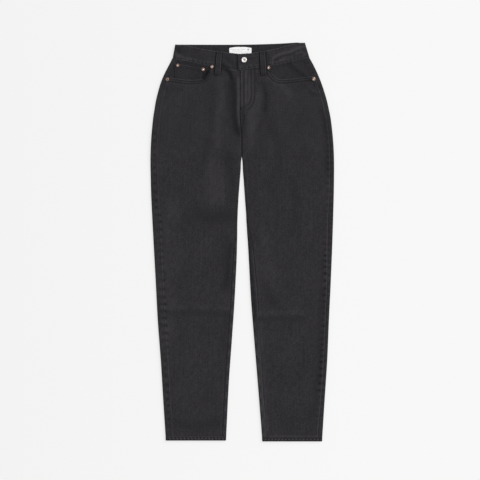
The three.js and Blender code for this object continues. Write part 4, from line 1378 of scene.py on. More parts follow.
    @staticmethod
    def fell(side: Side, share: Points, x: Points, y: Points) -> tuple[Points, Points]:
        """The felled inseam, up on the front: a strip of doubled cloth beside the seam.

        Args:
            side: Which leg.
            share: Shares across the back panel.
            x: Places across the page.
            y: Places up the page.

        Returns:
            Relief outwards, and tone: a dotted row of painted highlights on the stitches, painted shade in a
                dark line at the seam, and on the left leg a strip darker above and paler towards the hem.
        """
        on_inner = share > 1 - (1 - BACK_SHARES[2]) * 0.75
        to_inside = side.sign * x - side.inside(y)
        before = side.inseam(np.minimum(y, CLOTH.fork)) - to_inside
        strip = 0.45 * ease(before, -0.2, 0.8) * (1 - ease(before, 8.5, 10.5))
        ripple = 0.08 * np.sin(2 * math.pi * y / 9.5 + 1.5 * np.sin(y / 31))
        relief = np.where(on_inner & (y < CLOTH.fork - 20), strip + ripple * ease(before, 0, 3), 0.0)
        # Dotted painted highlights on the row of stitches, and a line of painted shade at the seam.
        dots = 0.5 + 0.5 * np.sin(2 * math.pi * y / Thread.TOP.pitch)
        row = bell(to_inside - FELL_ROW, 1.5) * (0.62 * dots - 0.16)
        worn_and_lit = 0.0 if side.sign < 0 else -0.12 + 0.26 * ease(-y, 190, 250)
        line = (-0.36 if side.sign < 0 else -0.16) * bell(before, 1.4)
        tone = (1 - ease(y, 0, 40)) * (row + worn_and_lit * ease(before, 0, 3) + line)
        return relief, np.where(on_inner, tone, 0.0)

    def back(self, side: Side) -> None:
        """Makes a back panel below its yoke.

        Args:
            side: Which leg.
        """
        form = self.form(side, Band.BACK)
        bottom = side.panel_bottom
        down = np.linspace(0, 1, int((BACK_TOP - bottom) / self.row_step))[:, None]
        share = back_columns()[None, :] + 0 * down
        near_top = np.clip(1 - down * 8, 0, 1)
        flat = BACK_TOP * (1 - down) + bottom * down + 0 * share
        y = flat
        for _ in range(BEND_ROUNDS):
            y = flat + (yoke_seam(form.page_x(share, y)) - CLOTH.gap / 2 - BACK_TOP) * near_top
        x = form.page_x(share, y)
        extra, wear_and_shading = self.seam_relief(side, Band.BACK, share, x, y)
        self.dresser.wall(f"back_{side.name}", *self.points(form, share, y, extra), wear_and_shading)

    def yoke(self, side: Side) -> None:
        """Makes a yoke between waistband and back panel.

        Args:
            side: Which leg.
        """
        form = self.form(side, Band.BACK)
        down = np.linspace(0, 1, 22)[:, None]
        share = back_columns()[None, :] + 0 * down
        on_front = share < BACK_SHARES[1] * 0.5
        top = np.full(share.shape, YOKE_TOP)
        bottom = np.full(share.shape, YOKE_BOTTOM)
        for _ in range(BEND_ROUNDS):
            top_x = form.page_x(share, top)
            top = np.where(on_front, BAND_LOW_FRONT(top_x), BAND_LOW_BACK(top_x)) + 0.6
            bottom = yoke_seam(form.page_x(share, bottom)) + CLOTH.gap / 2
        y = top * (1 - down) + bottom * down
        x = form.page_x(share, y)
        extra, wear_and_shading = self.seam_relief(side, Band.BACK, share, x, y)
        self.dresser.wall(f"yoke_{side.name}", *self.points(form, share, y, extra), wear_and_shading)

    def hem(self, side: Side) -> None:
        """Makes a turned hem round a leg, with the slanting ropes that washing leaves.

        Args:
            side: Which leg.
        """
        form = self.form(side, Band.WHOLE)
        around = 260
        even = np.linspace(0, 1, around, endpoint=False)
        share = np.interp(even, [0, 0.08, 0.42, 0.58, 0.92, 1], [*WHOLE_SHARES[:3], *WHOLE_SHARES[4:]])
        rings = []
        wear_and_shading = []
        turn = even * HEM_ROUND
        drop = 1.0 if side.sign < 0 else 0.4
        for up, depth in hem_section(CLOTH.hem_tall, CLOTH.hem_thick):
            y = np.full(around, side.hem_line + up - drop * (1 - up / CLOTH.hem_tall))
            base = form.read(share, y)
            rope = np.sin(2 * math.pi * turn / 6.2 + up * 0.42 + 0.8 * np.sin(turn / 17))
            rope *= 0.26 * math.sin(math.pi * min(max(up, 0) / 9.5, 1)) + 0.05
            on_top = np.clip(base[:, 4] * 2 - 1, 0, 1)
            x = side.sign * (side.outside(y) - base[:, 0])
            lift = ease(base[:, 0], 0, EDGE_FADE) * SURFACE.relief(side, x, y) * on_top
            grow = rope * (1 - depth / CLOTH.hem_thick) * on_top - depth
            normal = join(-side.sign * base[:, 2], 0.0, base[:, 3])
            rings.append(join(x, y, base[:, 1] + lift) - normal * grow[:, None])
            band = bell(up - 4.8, 2.6)
            shade = 0.3 * bell(up - 7.8, 1.2) + 0.75 * (1 - float(ease(up, 0.5, 3.5)))
            wear_and_shading.append((2.4 * rope * band + HEM_ROW_HIGHLIGHT * hem_row(y) + 0.04 * band - shade) * (depth < 0.6))
        self.dresser.strip(f"hem_{side.name}", np.stack(rings, axis=1), np.stack(wear_and_shading, axis=1), closed=True)


def front_rows(side: Side) -> list[Points]:
    """The sewn rows of a front panel: two round the pocket mouth, and on the left those of the fly."""
    scoop = SCOOP_RIGHT if side.sign < 0 else SCOOP_LEFT
    rows = []
    for distance in SCOOP_ROWS:
        path = offset_path(smooth_curve(scoop), -side.sign * distance)
        rows.append(path[path[:, 1] < BAND_LOW_FRONT(path[:, 0]) - 1])
    if side.sign > 0:
        rows += [smooth_curve(path) for path in FLY_ROWS]
    return rows


def hem_row(y: Points) -> Points:
    """How near a place is to the row of stitches round the hems."""
    return bell(y - HEM_ROW, 1.3)


def hem_section(tall: float, thick: float) -> list[tuple[float, float]]:
    """Section of a folded hem: height above its lower edge, and depth from the outer face.

    Args:
        tall: Height of the hem.
        thick: Thickness of the hem.

    Returns:
        Points all round the section.
    """
    radius = thick / 2
    points = [(tall * share, 0.0) for share in (1.0, 0.86, 0.72, 0.58, 0.44, 0.3, 0.18)]
    for step in range(7):
        angle = math.pi * step / 6
        points.append((radius * 0.9 * (1 - math.sin(angle)), radius * (1 - math.cos(angle))))
    points += [(tall * share, thick) for share in (0.3, 0.6, 0.9, 1.0)]
    return points


def back_columns() -> Points:
    """Shares across a back panel, closer where it bends."""
    marks = BACK_SHARES
    first = np.linspace(marks[0], marks[1], 19)
    middle = np.linspace(marks[1], marks[2], 17)[1:]
    last = np.linspace(marks[2], marks[3], 19)[1:]
    return np.concatenate([first, middle, last])


def yoke_seam(x: Points) -> Points:
    """Height of the seam between yoke and back panel."""
    share = np.minimum(np.abs(x) / 185, 1)
    return CLOTH.yoke_back + (CLOTH.yoke_side - CLOTH.yoke_back) * share


def smooth_curve(corners: Curve) -> Points:
    """A smooth curve through a few page points, with a point every millimetre.

    Args:
        corners: The points.

    Returns:
        Page points as rows.
    """
    points = np.array(corners, dtype=float)
    lengths = np.concatenate([[0.0], np.cumsum(np.hypot(*np.diff(points, axis=0).T))])
    place = np.linspace(0, lengths[-1], max(int(lengths[-1]), 2))
    over = Profile(list(zip(lengths, points[:, 0])))
    up = Profile(list(zip(lengths, points[:, 1])))
    return join(over(place), up(place))


def path_length(path: Points) -> float:
    """Length of a page path."""
    return float(np.hypot(*np.diff(path, axis=0).T).sum())


def resample(points: Points, count: int) -> Points:
    """Spaces points evenly along a path."""
    steps = np.sqrt((np.diff(points, axis=0) ** 2).sum(axis=1))
    lengths = np.concatenate([[0.0], np.cumsum(steps)])
    place = np.linspace(0, lengths[-1], count)
    return join(*(np.interp(place, lengths, column) for column in points.T))


@dataclass(frozen=True)
class Pucker:
    """A run of puckers beside an outseam."""

    side: str
    band: Band
    top: float
    bottom: float
    pitch: float
    depth: float
    offset: float
    width: float

    def read(self, distance: Points, y: Points) -> tuple[Points, Points]:
        """Relief and worn crests at a distance from the seam, with dots of painted shade in the troughs.

        Args:
            distance: Distance from the seam.
            y: Places up the page.

        Returns:
            Relief, and tone: worn crests and dots of painted shade.
        """
        along = ease(y, self.bottom, self.bottom + 30) * (1 - ease(y, self.top - 30, self.top))
        uneven = 0.75 + 0.25 * np.sin(y / 41 + self.pitch)
        wave = np.sin(2 * math.pi * y / self.pitch + 1.1 * np.sin(y / 37) + 0.7 * np.sin(y / 19 + 2))
        across = bell(distance - self.offset, self.width)
        ripple = self.depth * wave * across * along * uneven
        # Dots of painted shade where the wave dips.
        dots = np.clip(-1.4 * wave - 0.4, 0, 1)
        return ripple, (0.14 * np.clip(wave, 0, 1) - 1.8 * self.depth * dots) * across * along * uneven


PUCKERS = (
    Pucker("right", Band.BACK, 300, 50, 18.5, 0.42, 4.5, 4.0),
    Pucker("right", Band.FRONT, 90, -300, 18.5, 0.42, 4.0, 3.6),
    Pucker("right", Band.BACK, -260, -480, 17.5, 0.42, 4.5, 4.0),
    Pucker("right", Band.BACK, 60, -270, 18.5, 0.18, 4.5, 4.0),
    Pucker("left", Band.FRONT, 300, -60, 16.5, 0.25, 6.0, 3.6),
    Pucker("left", Band.FRONT, -10, -400, 15.8, 0.5, 6.5, 4.4),
    Pucker("left", Band.BACK, 260, -470, 16.5, 0.2, 3.0, 3.0),
    Pucker("left", Band.FRONT, -390, -480, 16.0, 0.25, 6.0, 3.6),
)


# Height of the waistband's outer face beside the lap: two walls, with room between and underneath.
BAND_FLAT = CLOTH.seat_lift + 2 * CLOTH.band_thick + 2 * CLOTH.gap + PATCH_THICK


def band_level(x: Points | float, over: bool) -> Points:
    """Height of the waistband's outer face in front, where its left end laps over the right one."""
    lap = (CLOTH.band_thick + CLOTH.gap) * (1 - ease(x, 28, 78)) if over else 0.0
    return BAND_FLAT + lap + 0.0 * np.asarray(x)


def band_relief(x: Points, y: Points) -> Points:
    """Folds and soft ripples of the waistband, gone at its two sides."""
    ripples = 0.16 * smooth_noise(x, y, 24, 5) + 0.07 * smooth_noise(x, y, 9, 6)
    return (SURFACE.folds(x, y) + ripples) * ease(np.abs(x), 150, 120)


def front_support(x: Points, y: Points) -> Points:
    """Height of the upper side, over panels and waistband alike."""
    x = np.asarray(x, dtype=float)
    y = np.asarray(y, dtype=float)
    left = x >= FLY_LINE(y)
    panel = np.where(left, SURFACE.height(LEFT, x, y), SURFACE.height(RIGHT, x, y))
    seam = BAND_LOW_FRONT(x)
    band = np.where(left, band_level(x, True), band_level(x, False)) + band_relief(x, y)
    return np.maximum(np.where(y < seam + 2, panel, 0.0), np.where(y > seam - 1, band, 0.0))


def rounded_section(wide: float, thick: float, flat_steps: int) -> Points:
    """Section of a strip with round edges.

    Args:
        wide: Width of the strip.
        thick: Thickness of the strip.
        flat_steps: Number of places on each flat face.

    Returns:
        Places across it and heights from its lower face, as rows.
    """
    radius = thick / 2
    reach = wide / 2 - radius
    flat = np.linspace(reach, -reach, flat_steps)
    turn = np.linspace(0, math.pi, 7)[1:-1]
    top = join(flat, thick)
    left = join(-reach - radius * np.sin(turn), radius + radius * np.cos(turn))
    bottom = join(flat[::-1], 0.0)
    right = join(reach + radius * np.sin(turn), radius - radius * np.cos(turn))
    return np.concatenate([top, left, bottom, right])


@dataclass(frozen=True)
class FrontLoop:
    """A front belt loop: its solid, and the middles of its upper and lower ends."""

    node: str
    top: Place
    bottom: Place

    def centre(self, y: Points) -> Points:
        """The loop's middle line at heights up the page."""
        return np.interp(y, [self.bottom[1], self.top[1]], [self.bottom[0], self.top[0]])

    def support(self, y: Points) -> Points:
        """Height of what lies under the loop."""
        across = np.linspace(-LOOP_WIDE / 2, LOOP_WIDE / 2, 7)
        wide_y = np.repeat(np.asarray(y, dtype=float)[:, None], 7, axis=1)
        return front_support(self.centre(y)[:, None] + across[None, :], wide_y).max(axis=1)

    def bow(self, y: Points) -> Points:
        """How far the loop's middle stands off the cloth."""
        return LOOP_BOW * bell(y - (self.top[1] + self.bottom[1]) / 2 - 2, 17)

    def outer_face(self, x: Points, y: Points) -> Points:
        """Height of the loop's outer face, the same all across it."""
        return self.support(y) + CLOTH.gap + self.bow(y) + CLOTH.loop_thick - 0.1 + 0 * x


FRONT_LOOPS = (
    FrontLoop("belt_loop_front_right", (-57.1, 473.4), (-61.6, 416.1)),
    FrontLoop("belt_loop_front_left", (49.9, 473.9), (53.6, 415.4)),
)


def loop_shade(x: Points, y: Points) -> Points:
    """Painted shade beside the front belt loops, where they stand off the cloth."""
    tone = np.zeros(np.shape(x))
    for loop in FRONT_LOOPS:
        beside = bell(np.abs(x - loop.centre(y)) - LOOP_WIDE / 2 - 1.2, 2.2)
        tone = tone - 0.75 * beside * ease(y, loop.bottom[1] - 4, loop.bottom[1] + 2)
    return tone


@dataclass
class Waist:
    """The waistband, its belt loops and the label."""

    dresser: Dresser
    over_stations: int = 170
    back_stations: int = 90

    def stretch(self, start: float, end: float, over: bool) -> Points:
        """Stations along the front, as stations() gives them."""
        x = np.linspace(start, end, self.over_stations)
        table = BAND_TOP_LEFT if over else BAND_TOP_RIGHT
        zero = np.zeros_like(x)
        return join(x, BAND_LOW_FRONT(x), table(x), band_level(x, over), zero, zero - 1, zero + 1)

    def turn(self, side: Side, start: float, end: float) -> Points:
        """Stations round one side of the waist.

        Args:
            side: Which side.
            start: Angle of the first station.
            end: Angle of the last one.

        Returns:
            Rows as stations() gives them.
        """
        low_edge, top_edge = BAND_SIDE[side.name]
        base = CLOTH.seat_lift
        radius = (BAND_FLAT - base) / 2
        angle = np.linspace(start, end, 16)[1:-1]
        zero = np.zeros_like(angle)
        x = side.sign * (low_edge - radius + radius * np.cos(angle))
        low = zero + float(BAND_LOW_FRONT(side.sign * low_edge))
        top = zero + float(BAND_TOP_BACK(side.sign * top_edge))
        height = base + radius + radius * np.sin(angle)
        return join(x, low, top, height, -side.sign * np.cos(angle), -np.sin(angle), zero)

    def stations(self) -> Points:
        """All the stations from the over end round the back to the under end.

        Returns:
            Rows of place across, lower edge, upper edge, height, the two parts of the direction to the
            inside, and 1 in front or 0 elsewhere.
        """
        left = BAND_SIDE["left"][0] - 3
        right = 3 - BAND_SIDE["right"][0]
        x = np.linspace(left, right, self.back_stations)
        zero = np.zeros_like(x)
        back = join(x, BAND_LOW_BACK(x), BAND_TOP_BACK(x), zero + CLOTH.seat_lift, zero, zero + 1, zero)
        half = math.pi / 2
        return np.concatenate([
            self.stretch(CLOTH.over_end, left, True),
            self.turn(LEFT, half, -half),
            back,
            self.turn(RIGHT, -half, half),
            self.stretch(right, CLOTH.under_end, False),
        ])

    @staticmethod
    def lean_in(x: Points, share: float) -> Points:
        """Narrows the strip towards its top edge, where the waist is smaller."""
        low = np.where(x < 0, BAND_SIDE["right"][0], BAND_SIDE["left"][0])
        top = np.where(x < 0, BAND_SIDE["right"][1], BAND_SIDE["left"][1])
        return x - np.sign(x) * (low - top) * share * ease(np.abs(x), low - 60, low)

    @staticmethod
    def sewn_relief(x: Points, up: Points, tall: Points) -> Points:
        """Grooves at the two rows of stitches, puckers along the edges, and the worked buttonhole.

        Args:
            x: Places across the page.
            up: Heights above the lower edge.
            tall: Heights of the waistband there.

        Returns:
            Relief outwards.
        """
        from_edge = np.minimum(up, tall - up)
        groove = -0.22 * bell(from_edge - BAND_ROW, 0.9)
        pucker = 0.13 * np.sin(2 * math.pi * x / 6.8 + 1.3 * np.sin(x / 23)) * bell(from_edge, 4.5)
        off = up - tall * BUTTONHOLE_UP
        start, end = BUTTONHOLE
        along = ease(x, start, start + 2) * (1 - ease(x, end - 2, end))
        slot = -1.3 * np.exp(-((off / 0.7) ** 4)) + 0.35 * bell(np.abs(off) - 2.1, 1.0)
        return groove + pucker + slot * along

    def band(self) -> None:
        """Makes the waistband: one strip with round edges and lapped ends."""
        across, low, top, base, inside_x, inside_z, front = self.stations().T
        tall = top - low
        lapped = base > BAND_FLAT + 0.01
        radius = CLOTH.band_thick / 2
        rings = []
        wear_and_shading = []
        for share, offset, depth in self.section():
            x = self.lean_in(across, share)
            y = low + tall * share + offset
            outer = max(0.0, 1 - depth / radius)
            sewn = self.sewn_relief(np.where(lapped, x, BUTTONHOLE_OFF), y - low, tall) * outer
            lift = front * (band_relief(x, y) + sewn)
            rings.append(join(x + inside_x * depth, y, base + lift + inside_z * depth))
            inner_tone = 0.1 * smooth_noise(x, y, 9, 8) - 0.14
            wear_and_shading.append(np.where(front > 0, outer * self.tone(x, y, low, top), inner_tone))
        worn_and_lit = np.stack(wear_and_shading, axis=1)
        worn_and_lit = np.concatenate([worn_and_lit[:1], worn_and_lit, worn_and_lit[-1:]])
        self.dresser.strip("waistband", self.closed_ends(np.stack(rings, axis=1)), worn_and_lit)

    @staticmethod
    def section() -> list[tuple[float, float, float]]:
        """The waistband's section: share of its height, offset up, and depth from the outer face."""
        thick = CLOTH.band_thick
        radius = thick / 2
        turn = np.linspace(0, math.pi, 7)[1:-1]
        section = [(share, 0.0, 0.0) for share in np.linspace(0.03, 0.97, 30)]
        section += [(1.0, radius * (math.sin(a) - 1), radius * (1 - math.cos(a))) for a in turn]
        section += [(share, 0.0, thick) for share in np.linspace(0.97, 0.03, 12)]
        return section + [(0.0, radius * (1 - math.sin(a)), radius * (1 + math.cos(a))) for a in turn]

    @staticmethod
    def tone(x: Points, y: Points, low: Points, top: Points) -> Points:
        """Tone of the waistband's front: worn rims, dark beads of painted pucker shade along its rows of
        stitches, and the belt loops' painted shade.

        Args:
            x: Places across the page.
            y: Places up the page.
            low: The lower edge there.
            top: The upper edge there.

        Returns:
            The tone, above 0 where it is paler.
        """
        from_edge = np.minimum(y - low, top - y)
        wave = np.sin(2 * math.pi * x / 11.5 + 2.2 * np.sin(x / 19) + 1.1 * np.sin(x / 7.3) + 0.15 * y)
        beads = np.clip(wave * (0.75 + 0.5 * smooth_noise(x, y, 30, 51)), 0, 1)
        low_edge = np.where(y - low < 20, 1.0, 0.35)
        # Beads of painted shade along the rows of stitches, where the band puckers.
        seam = bell(from_edge - 4.2, 3.0) * (0.05 + 0.5 * beads) * low_edge
        rim = (0.55 - 0.2 * beads) * bell(from_edge - 0.6, 1.6)
        second = 0.2 * (1 - beads) * bell(from_edge - 7.5, 3.0) * low_edge
        return SURFACE.tone(x, y) + loop_shade(x, y) + rim + second - seam

    @staticmethod
    def closed_ends(rings: Points) -> Points:
        """Adds a smaller ring beyond each end, so that the end is round."""
        result = [rings]
        for index, before, sign in ((0, 1, -1), (-1, -2, 1)):
            ring = rings[index]
            centre = ring.mean(axis=0)
            run = (ring - rings[before]).mean(axis=0)
            run /= np.linalg.norm(run)
            shrunk = centre + (ring - centre) * np.array([1.0, 0.97, 0.4]) + run * 0.9
            result = [shrunk[None], *result] if sign < 0 else [*result, shrunk[None]]
        return np.concatenate(result)

    def front_loop(self, loop: FrontLoop) -> None:
        """Makes a belt loop over the waistband and down to the panel.

        Args:
            loop: The loop.
        """
        top, bottom = loop.top[1], loop.bottom[1]
        y = np.linspace(top + 1.2, bottom, 70)
        rest = np.convolve(np.pad(loop.support(y), 3, mode="edge"), np.ones(7) / 7, mode="valid")
        sink = 0.5 * (1 - ease(y, bottom, bottom + 3)) + 0.9 * ease(y, top - 1, top + 1.2)
        rest = rest + CLOTH.gap + loop.bow(y) - sink
        rings = []
        wear_and_shading = []
        for place, height in rounded_section(LOOP_WIDE, CLOTH.loop_thick, 11):
            groove = -0.16 * bell(abs(place) - LOOP_ROWS, 0.8) * (height > CLOTH.loop_thick - 0.01)
            ripple = 0.07 * np.sin(2 * math.pi * y / 5.5 + place) * (height > 0.5)
            rings.append(join(loop.centre(y) + place, y, rest + height + groove + ripple))
            rim = 0.45 if height > 0.4 and abs(place) > LOOP_WIDE / 2 - 1.4 else 0.0
            rows = -0.4 * bell(abs(place) - 3.2, 1.2) * (0.6 + 0.4 * np.sin(2 * math.pi * y / 6.6))
            foot = -0.5 * (bell(y - bottom - 4.5, 1.6) + bell(y - top + 4, 1.6))
            wear_and_shading.append(rim + rows + foot)
        self.dresser.strip(loop.node, np.stack(rings, axis=1), np.stack(wear_and_shading, axis=1))

    def back_loop(self, name: str) -> None:
        """Makes a belt loop on the back, which lies underneath."""
        low, high = self.dresser.maker.box(name)
        middle = (low[0] + high[0]) / 2
        y = np.linspace(high[1], low[1], 30)
        section = rounded_section(LOOP_WIDE, PATCH_THICK - UNDERSIDE_ROOM, 9)
        rings = [join(middle + place, y, UNDERSIDE_ROOM + height) for place, height in section]
        self.dresser.strip(name, np.stack(rings, axis=1))

    def label(self) -> None:
        """Makes the white woven label with its arched top and a few plain marks."""
        low, high = self.dresser.maker.box("label")
        u = np.linspace(0, 1, 50)[None, :]
        v = np.linspace(0, 1, 30)[:, None]
        arch = 1 - np.clip(np.abs(2 * u - 1) * 1.35 - 0.35, 0, 1) ** 2
        top = high[1] - 2.9 - 2.7 * (1 - arch)
        x = low[0] + (high[0] - low[0]) * u + 0 * v
        y = top * (1 - v) + (low[1] + 1.0) * v
        sag = 0.35 * np.sin(math.pi * u) * (1 - v) + 0.08 * smooth_noise(x, y, 14, 21)
        outer = join(x, y, high[2] - 0.4 + sag)
        inner = outer - np.array([0.0, 0.0, 0.6])
        piece = self.dresser.maker.shell("label_tape", outer, inner)
        marks = self.marks(high[2])
        self.dresser.dress(piece, self.dresser.finishes.label, "label_tape", ("label",), (marks,))

    def marks(self, level: float) -> Piece:
        """Makes the label's generic marks: two rows of short bars, a small block and a thin bar.

        Args:
            level: Height of the label's face.

        Returns:
            The marks.
        """
        points = []
        faces = []
        bars = [(x, 480.6, 1.5, 0.9) for x in np.linspace(-27.6, 6.4, 12)]
        bars += [(x, 476.4, 1.5, 0.9) for x in np.linspace(-23.0, -1.0, 8)]
        bars += [(15.3, 480.6, 4.5, 2.2), (15.3, 476.8, 4.5, 0.7)]
        for x, y, wide, tall in bars:
            self.bar(points, faces, x, y, wide, tall, level - 0.05)
        piece = self.dresser.maker.mesh("label_marks", np.array(points), faces)
        return self.dresser.dress(piece, self.dresser.finishes.grey_yarn, "label_tape")

    @staticmethod
    def bar(points: list, faces: list, x: float, y: float, wide: float, tall: float, z: float) -> None:
        """Adds one flat bar to lists of points and faces.

        Args:
            points: The points so far.
            faces: The faces so far.
            x: The bar's middle across the page.
            y: The bar's middle up the page.
            wide: Its width.
            tall: Its height on the page.
            z: Its height above the surface.
        """
        start = len(points)
        for height in (z - 0.15, z + 0.12):
            for across, up in ((-1, -1), (1, -1), (1, 1), (-1, 1)):
                points.append((x + across * wide / 2, y + up * tall / 2, height))
        for corners in ((3, 2, 1, 0), (4, 5, 6, 7), (0, 1, 5, 4), (1, 2, 6, 5), (2, 3, 7, 6), (3, 0, 4, 7)):
            faces.append([start + corner for corner in corners])


@dataclass
class Pockets:
    """Facings behind the pocket mouths, the coin pocket and the back pockets."""

    dresser: Dresser

    @staticmethod
    def seam_x(side: Side, y: Points) -> Points:
        """The outseam's place across the page."""
        return side.sign * (side.outside(y) - side.outseam(y) - CLOTH.gap / 2)

    def facing_level(self, side: Side, x: Points, y: Points) -> Points:
        """Height of a facing: level with the outseam there, and sunk under the pocket mouth."""
        right = side.sign < 0
        from_seam = np.abs(x - self.seam_x(side, y))
        depth = 2.9 if right else 2.0
        sunk = 0.35 + (depth - 0.35) * ease(from_seam, 0, 3 if right else 11)
        level = SURFACE.level(y) if right else SURFACE.height(side, x, y)
        held = 1 - ease(BAND_LOW_FRONT(x) - y, 0, 8.5)
        return level - sunk + (sunk - 0.3) * held + 0.10 * smooth_noise(x, y, 17, 31)

    def facing(self, side: Side, inner_x: float) -> None:
        """Makes the facing behind a pocket mouth.

        Args:
            side: Which leg.
            inner_x: Its inner end, under the front panel.
        """
        u = np.linspace(0, 1, 90)[None, :]
        v = np.linspace(0, 1, 46)[:, None]
        edge = float(BAND_LOW_FRONT(self.seam_x(side, 450))) - CLOTH.gap
        guess = edge + (CLOTH.facing_end - edge) * v
        x = self.seam_x(side, guess) * (1 - u) + inner_x * u
        top = BAND_LOW_FRONT(x) - CLOTH.gap
        y = top + (CLOTH.facing_end - top) * v
        outer = join(x, y, self.facing_level(side, x, y))
        inner = outer - np.array([0.0, 0.0, 0.8])
        # The surface's tone, a little stronger, and darker by 0.12 as painted shade under the pocket mouth.
        self.dresser.wall(f"pocket_facing_{side.name}", outer, inner, 1.3 * SURFACE.tone(x, y) - 0.12)

    @staticmethod
    def coin_point(u: Points, v: Points) -> tuple[Points, Points]:
        """Places on the coin pocket for shares across and down it."""
        corners = zip(*COIN_CORNERS)
        return tuple(
            (top_left * (1 - u) + top_right * u) * (1 - v) + (low_left * (1 - u) + low_right * u) * v
            for top_left, top_right, low_left, low_right in corners
        )

    def coin_level(self, x: Points, y: Points) -> Points:
        """Height of the coin pocket's outer face."""
        return self.facing_level(RIGHT, x, y) + 1.25

    def coin(self) -> None:
        """Makes the coin pocket with a folded upper edge."""
        u, v = np.meshgrid(np.linspace(0, 1, 60), np.linspace(0, 1, 40))
        x, y = self.coin_point(u, v)
        from_top = v * COIN_SIZE[1]
        from_side = np.minimum(u, 1 - u) * COIN_SIZE[0]
        groove = np.zeros_like(x)
        for row in COIN_ROWS:
            groove += -0.16 * bell(from_top - row, 0.8) - 0.16 * bell(from_side - row, 0.8)
        edge = np.minimum(from_top, from_side)
        rim = -0.35 * np.clip(1 - edge / 1.2, 0, 1) ** 2
        outer = join(x, y, self.coin_level(x, y) + groove + rim)
        inner = outer - np.array([0.0, 0.0, 0.9])
        # Paler rim at the edges, painted shade in the stitch grooves, and darker overall and towards the
        # inner end as painted shade under the pocket mouth.
        wear_and_shading = 0.45 * bell(edge, 1.3) + 2.2 * groove + SURFACE.tone(x, y) - 0.12 - 0.2 * ease(u, 0.4, 1)
        self.dresser.wall("coin_pocket", outer, inner, wear_and_shading)

    @staticmethod
    def back_outline(side: Side, inset: float) -> Points:
        """A back pocket's outline on the page.

        Args:
            side: Which leg.
            inset: How far the outline is moved in.

        Returns:
            Its five corners, as rows.
        """
        wide, low_wide, tall, point = 71 - inset, 59 - inset, 150 - inset, 16
        low = point - tall
        corners = [(-wide, -inset), (wide, -inset), (low_wide, low), (0, -tall), (-low_wide, low)]
        tilt = side.sign * 0.05
        sine, cosine = math.sin(tilt), math.cos(tilt)
        return np.array([
            (side.sign * 104 + a * cosine - b * sine, 372 + a * sine + b * cosine) for a, b in corners
        ])

    def back(self, side: Side) -> None:
        """Makes a back pocket, flat underneath.

        Args:
            side: Which leg.
        """
        corners = self.back_outline(side, 0)
        outline = resample(np.concatenate([corners, corners[:1]]), 121)[:-1]
        centre = outline.mean(axis=0)
        rings = []
        low, high = UNDERSIDE_ROOM, PATCH_THICK - 0.05
        for share, height in ((0.01, low), (0.985, low), (1.0, 0.6), (0.985, high), (0.01, high)):
            flat = centre + (outline - centre) * share
            rings.append(join(*flat.T, height))
        self.dresser.strip(f"back_pocket_{side.name}", np.stack(rings))


@dataclass
class Hardware:
    """Shank button and rivets, as turned metal."""

    dresser: Dresser

    def turned(
        self,
        name: str,
        node: str,
        profile: Curve,
        metal: Finish,
        slot: str,
        lean: Place,
    ) -> None:
        """Turns a profile on its solid's place.

        Args:
            name: The piece's name.
            node: The solid that it stands for.
            profile: Radius and height above the solid's foot, from the bottom middle to the top middle.
            metal: Its finish.
            slot: Passed on to dress, which does not use it.
            lean: How far its head stands aside of the solid's middle.
        """
        low, high = self.dresser.maker.box(node)
        middle = (low + high) / 2
        angles = np.linspace(0, 2 * math.pi, 48, endpoint=False)
        rings = []
        for radius, height in profile:
            size = max(radius, 0.02)
            tip = min(1.0, height / (0.5 * (high[2] - low[2])))
            across = middle[0] + lean[0] * tip + size * np.cos(angles)
            up = middle[1] + lean[1] * tip + size * np.sin(angles)
            rings.append(join(across, up, low[2] + height))
        self.dresser.dress(self.dresser.maker.tube(name, np.stack(rings)), metal, slot, (node,))

    def button(self) -> None:
        """Makes the button: a bright rolled ring round a sunk dark centre."""
        low, high = self.dresser.maker.box("button")
        tall = high[2] - low[2]
        lean = (-0.2, -2.4)
        ring = arc((4.85, tall - 1.9), 1.9, -0.9, 2.4).tolist()
        profile = [(0, 0), (2.5, 0), (2.5, tall - 3.6), (5.8, tall - 3.6), *ring, (2.4, tall - 1.3)]
        rim = [*profile, (2.0, tall - 1.8), (0, tall - 1.8)]
        self.turned("button_ring", "button", rim, self.dresser.finishes.nickel, "button_metal", lean)
        centre = [(0, tall - 2.2), (1.95, tall - 2.2), (1.95, tall - 1.7), (1.2, tall - 1.5), (0, tall - 1.4)]
        self.turned("button_centre", "button", centre, self.dresser.finishes.copper, "button_metal", lean)

    def rivets(self) -> None:
        """Makes the rivets: a low dish with a round nub in its middle, most nubs in a pale copper that is
        partly worn bright and partly a painted highlight.
        """
        dish = [(0, 0), (3.95, 0), (4.1, 0.35), (3.95, 0.8), (3.5, 1.1), (2.9, 1.15), (2.3, 0.95), (0, 0.85)]
        nub = [(0, 0.9), (1.55, 0.9), (1.55, 1.3), (1.25, 1.7), (0.7, 1.9), (0, 1.95)]
        finishes = self.dresser.finishes
        for name, (lean, worn_and_lit) in RIVETS.items():
            self.turned(f"{name}_dish", name, dish, finishes.copper, "rivet_metal", lean)
            # The pale nub copper is partly wear and partly a painted highlight.
            metal = finishes.worn_copper if worn_and_lit else finishes.copper
            self.turned(f"{name}_nub", name, nub, metal, "rivet_metal", lean)


def offset_path(path: Points, distance: float) -> Points:
    """Moves a page path sideways, to the left of its run."""
    run = np.gradient(path, axis=0)
    run /= np.hypot(run[:, 0], run[:, 1])[:, None]
    return path + distance * join(-run[:, 1], run[:, 0])


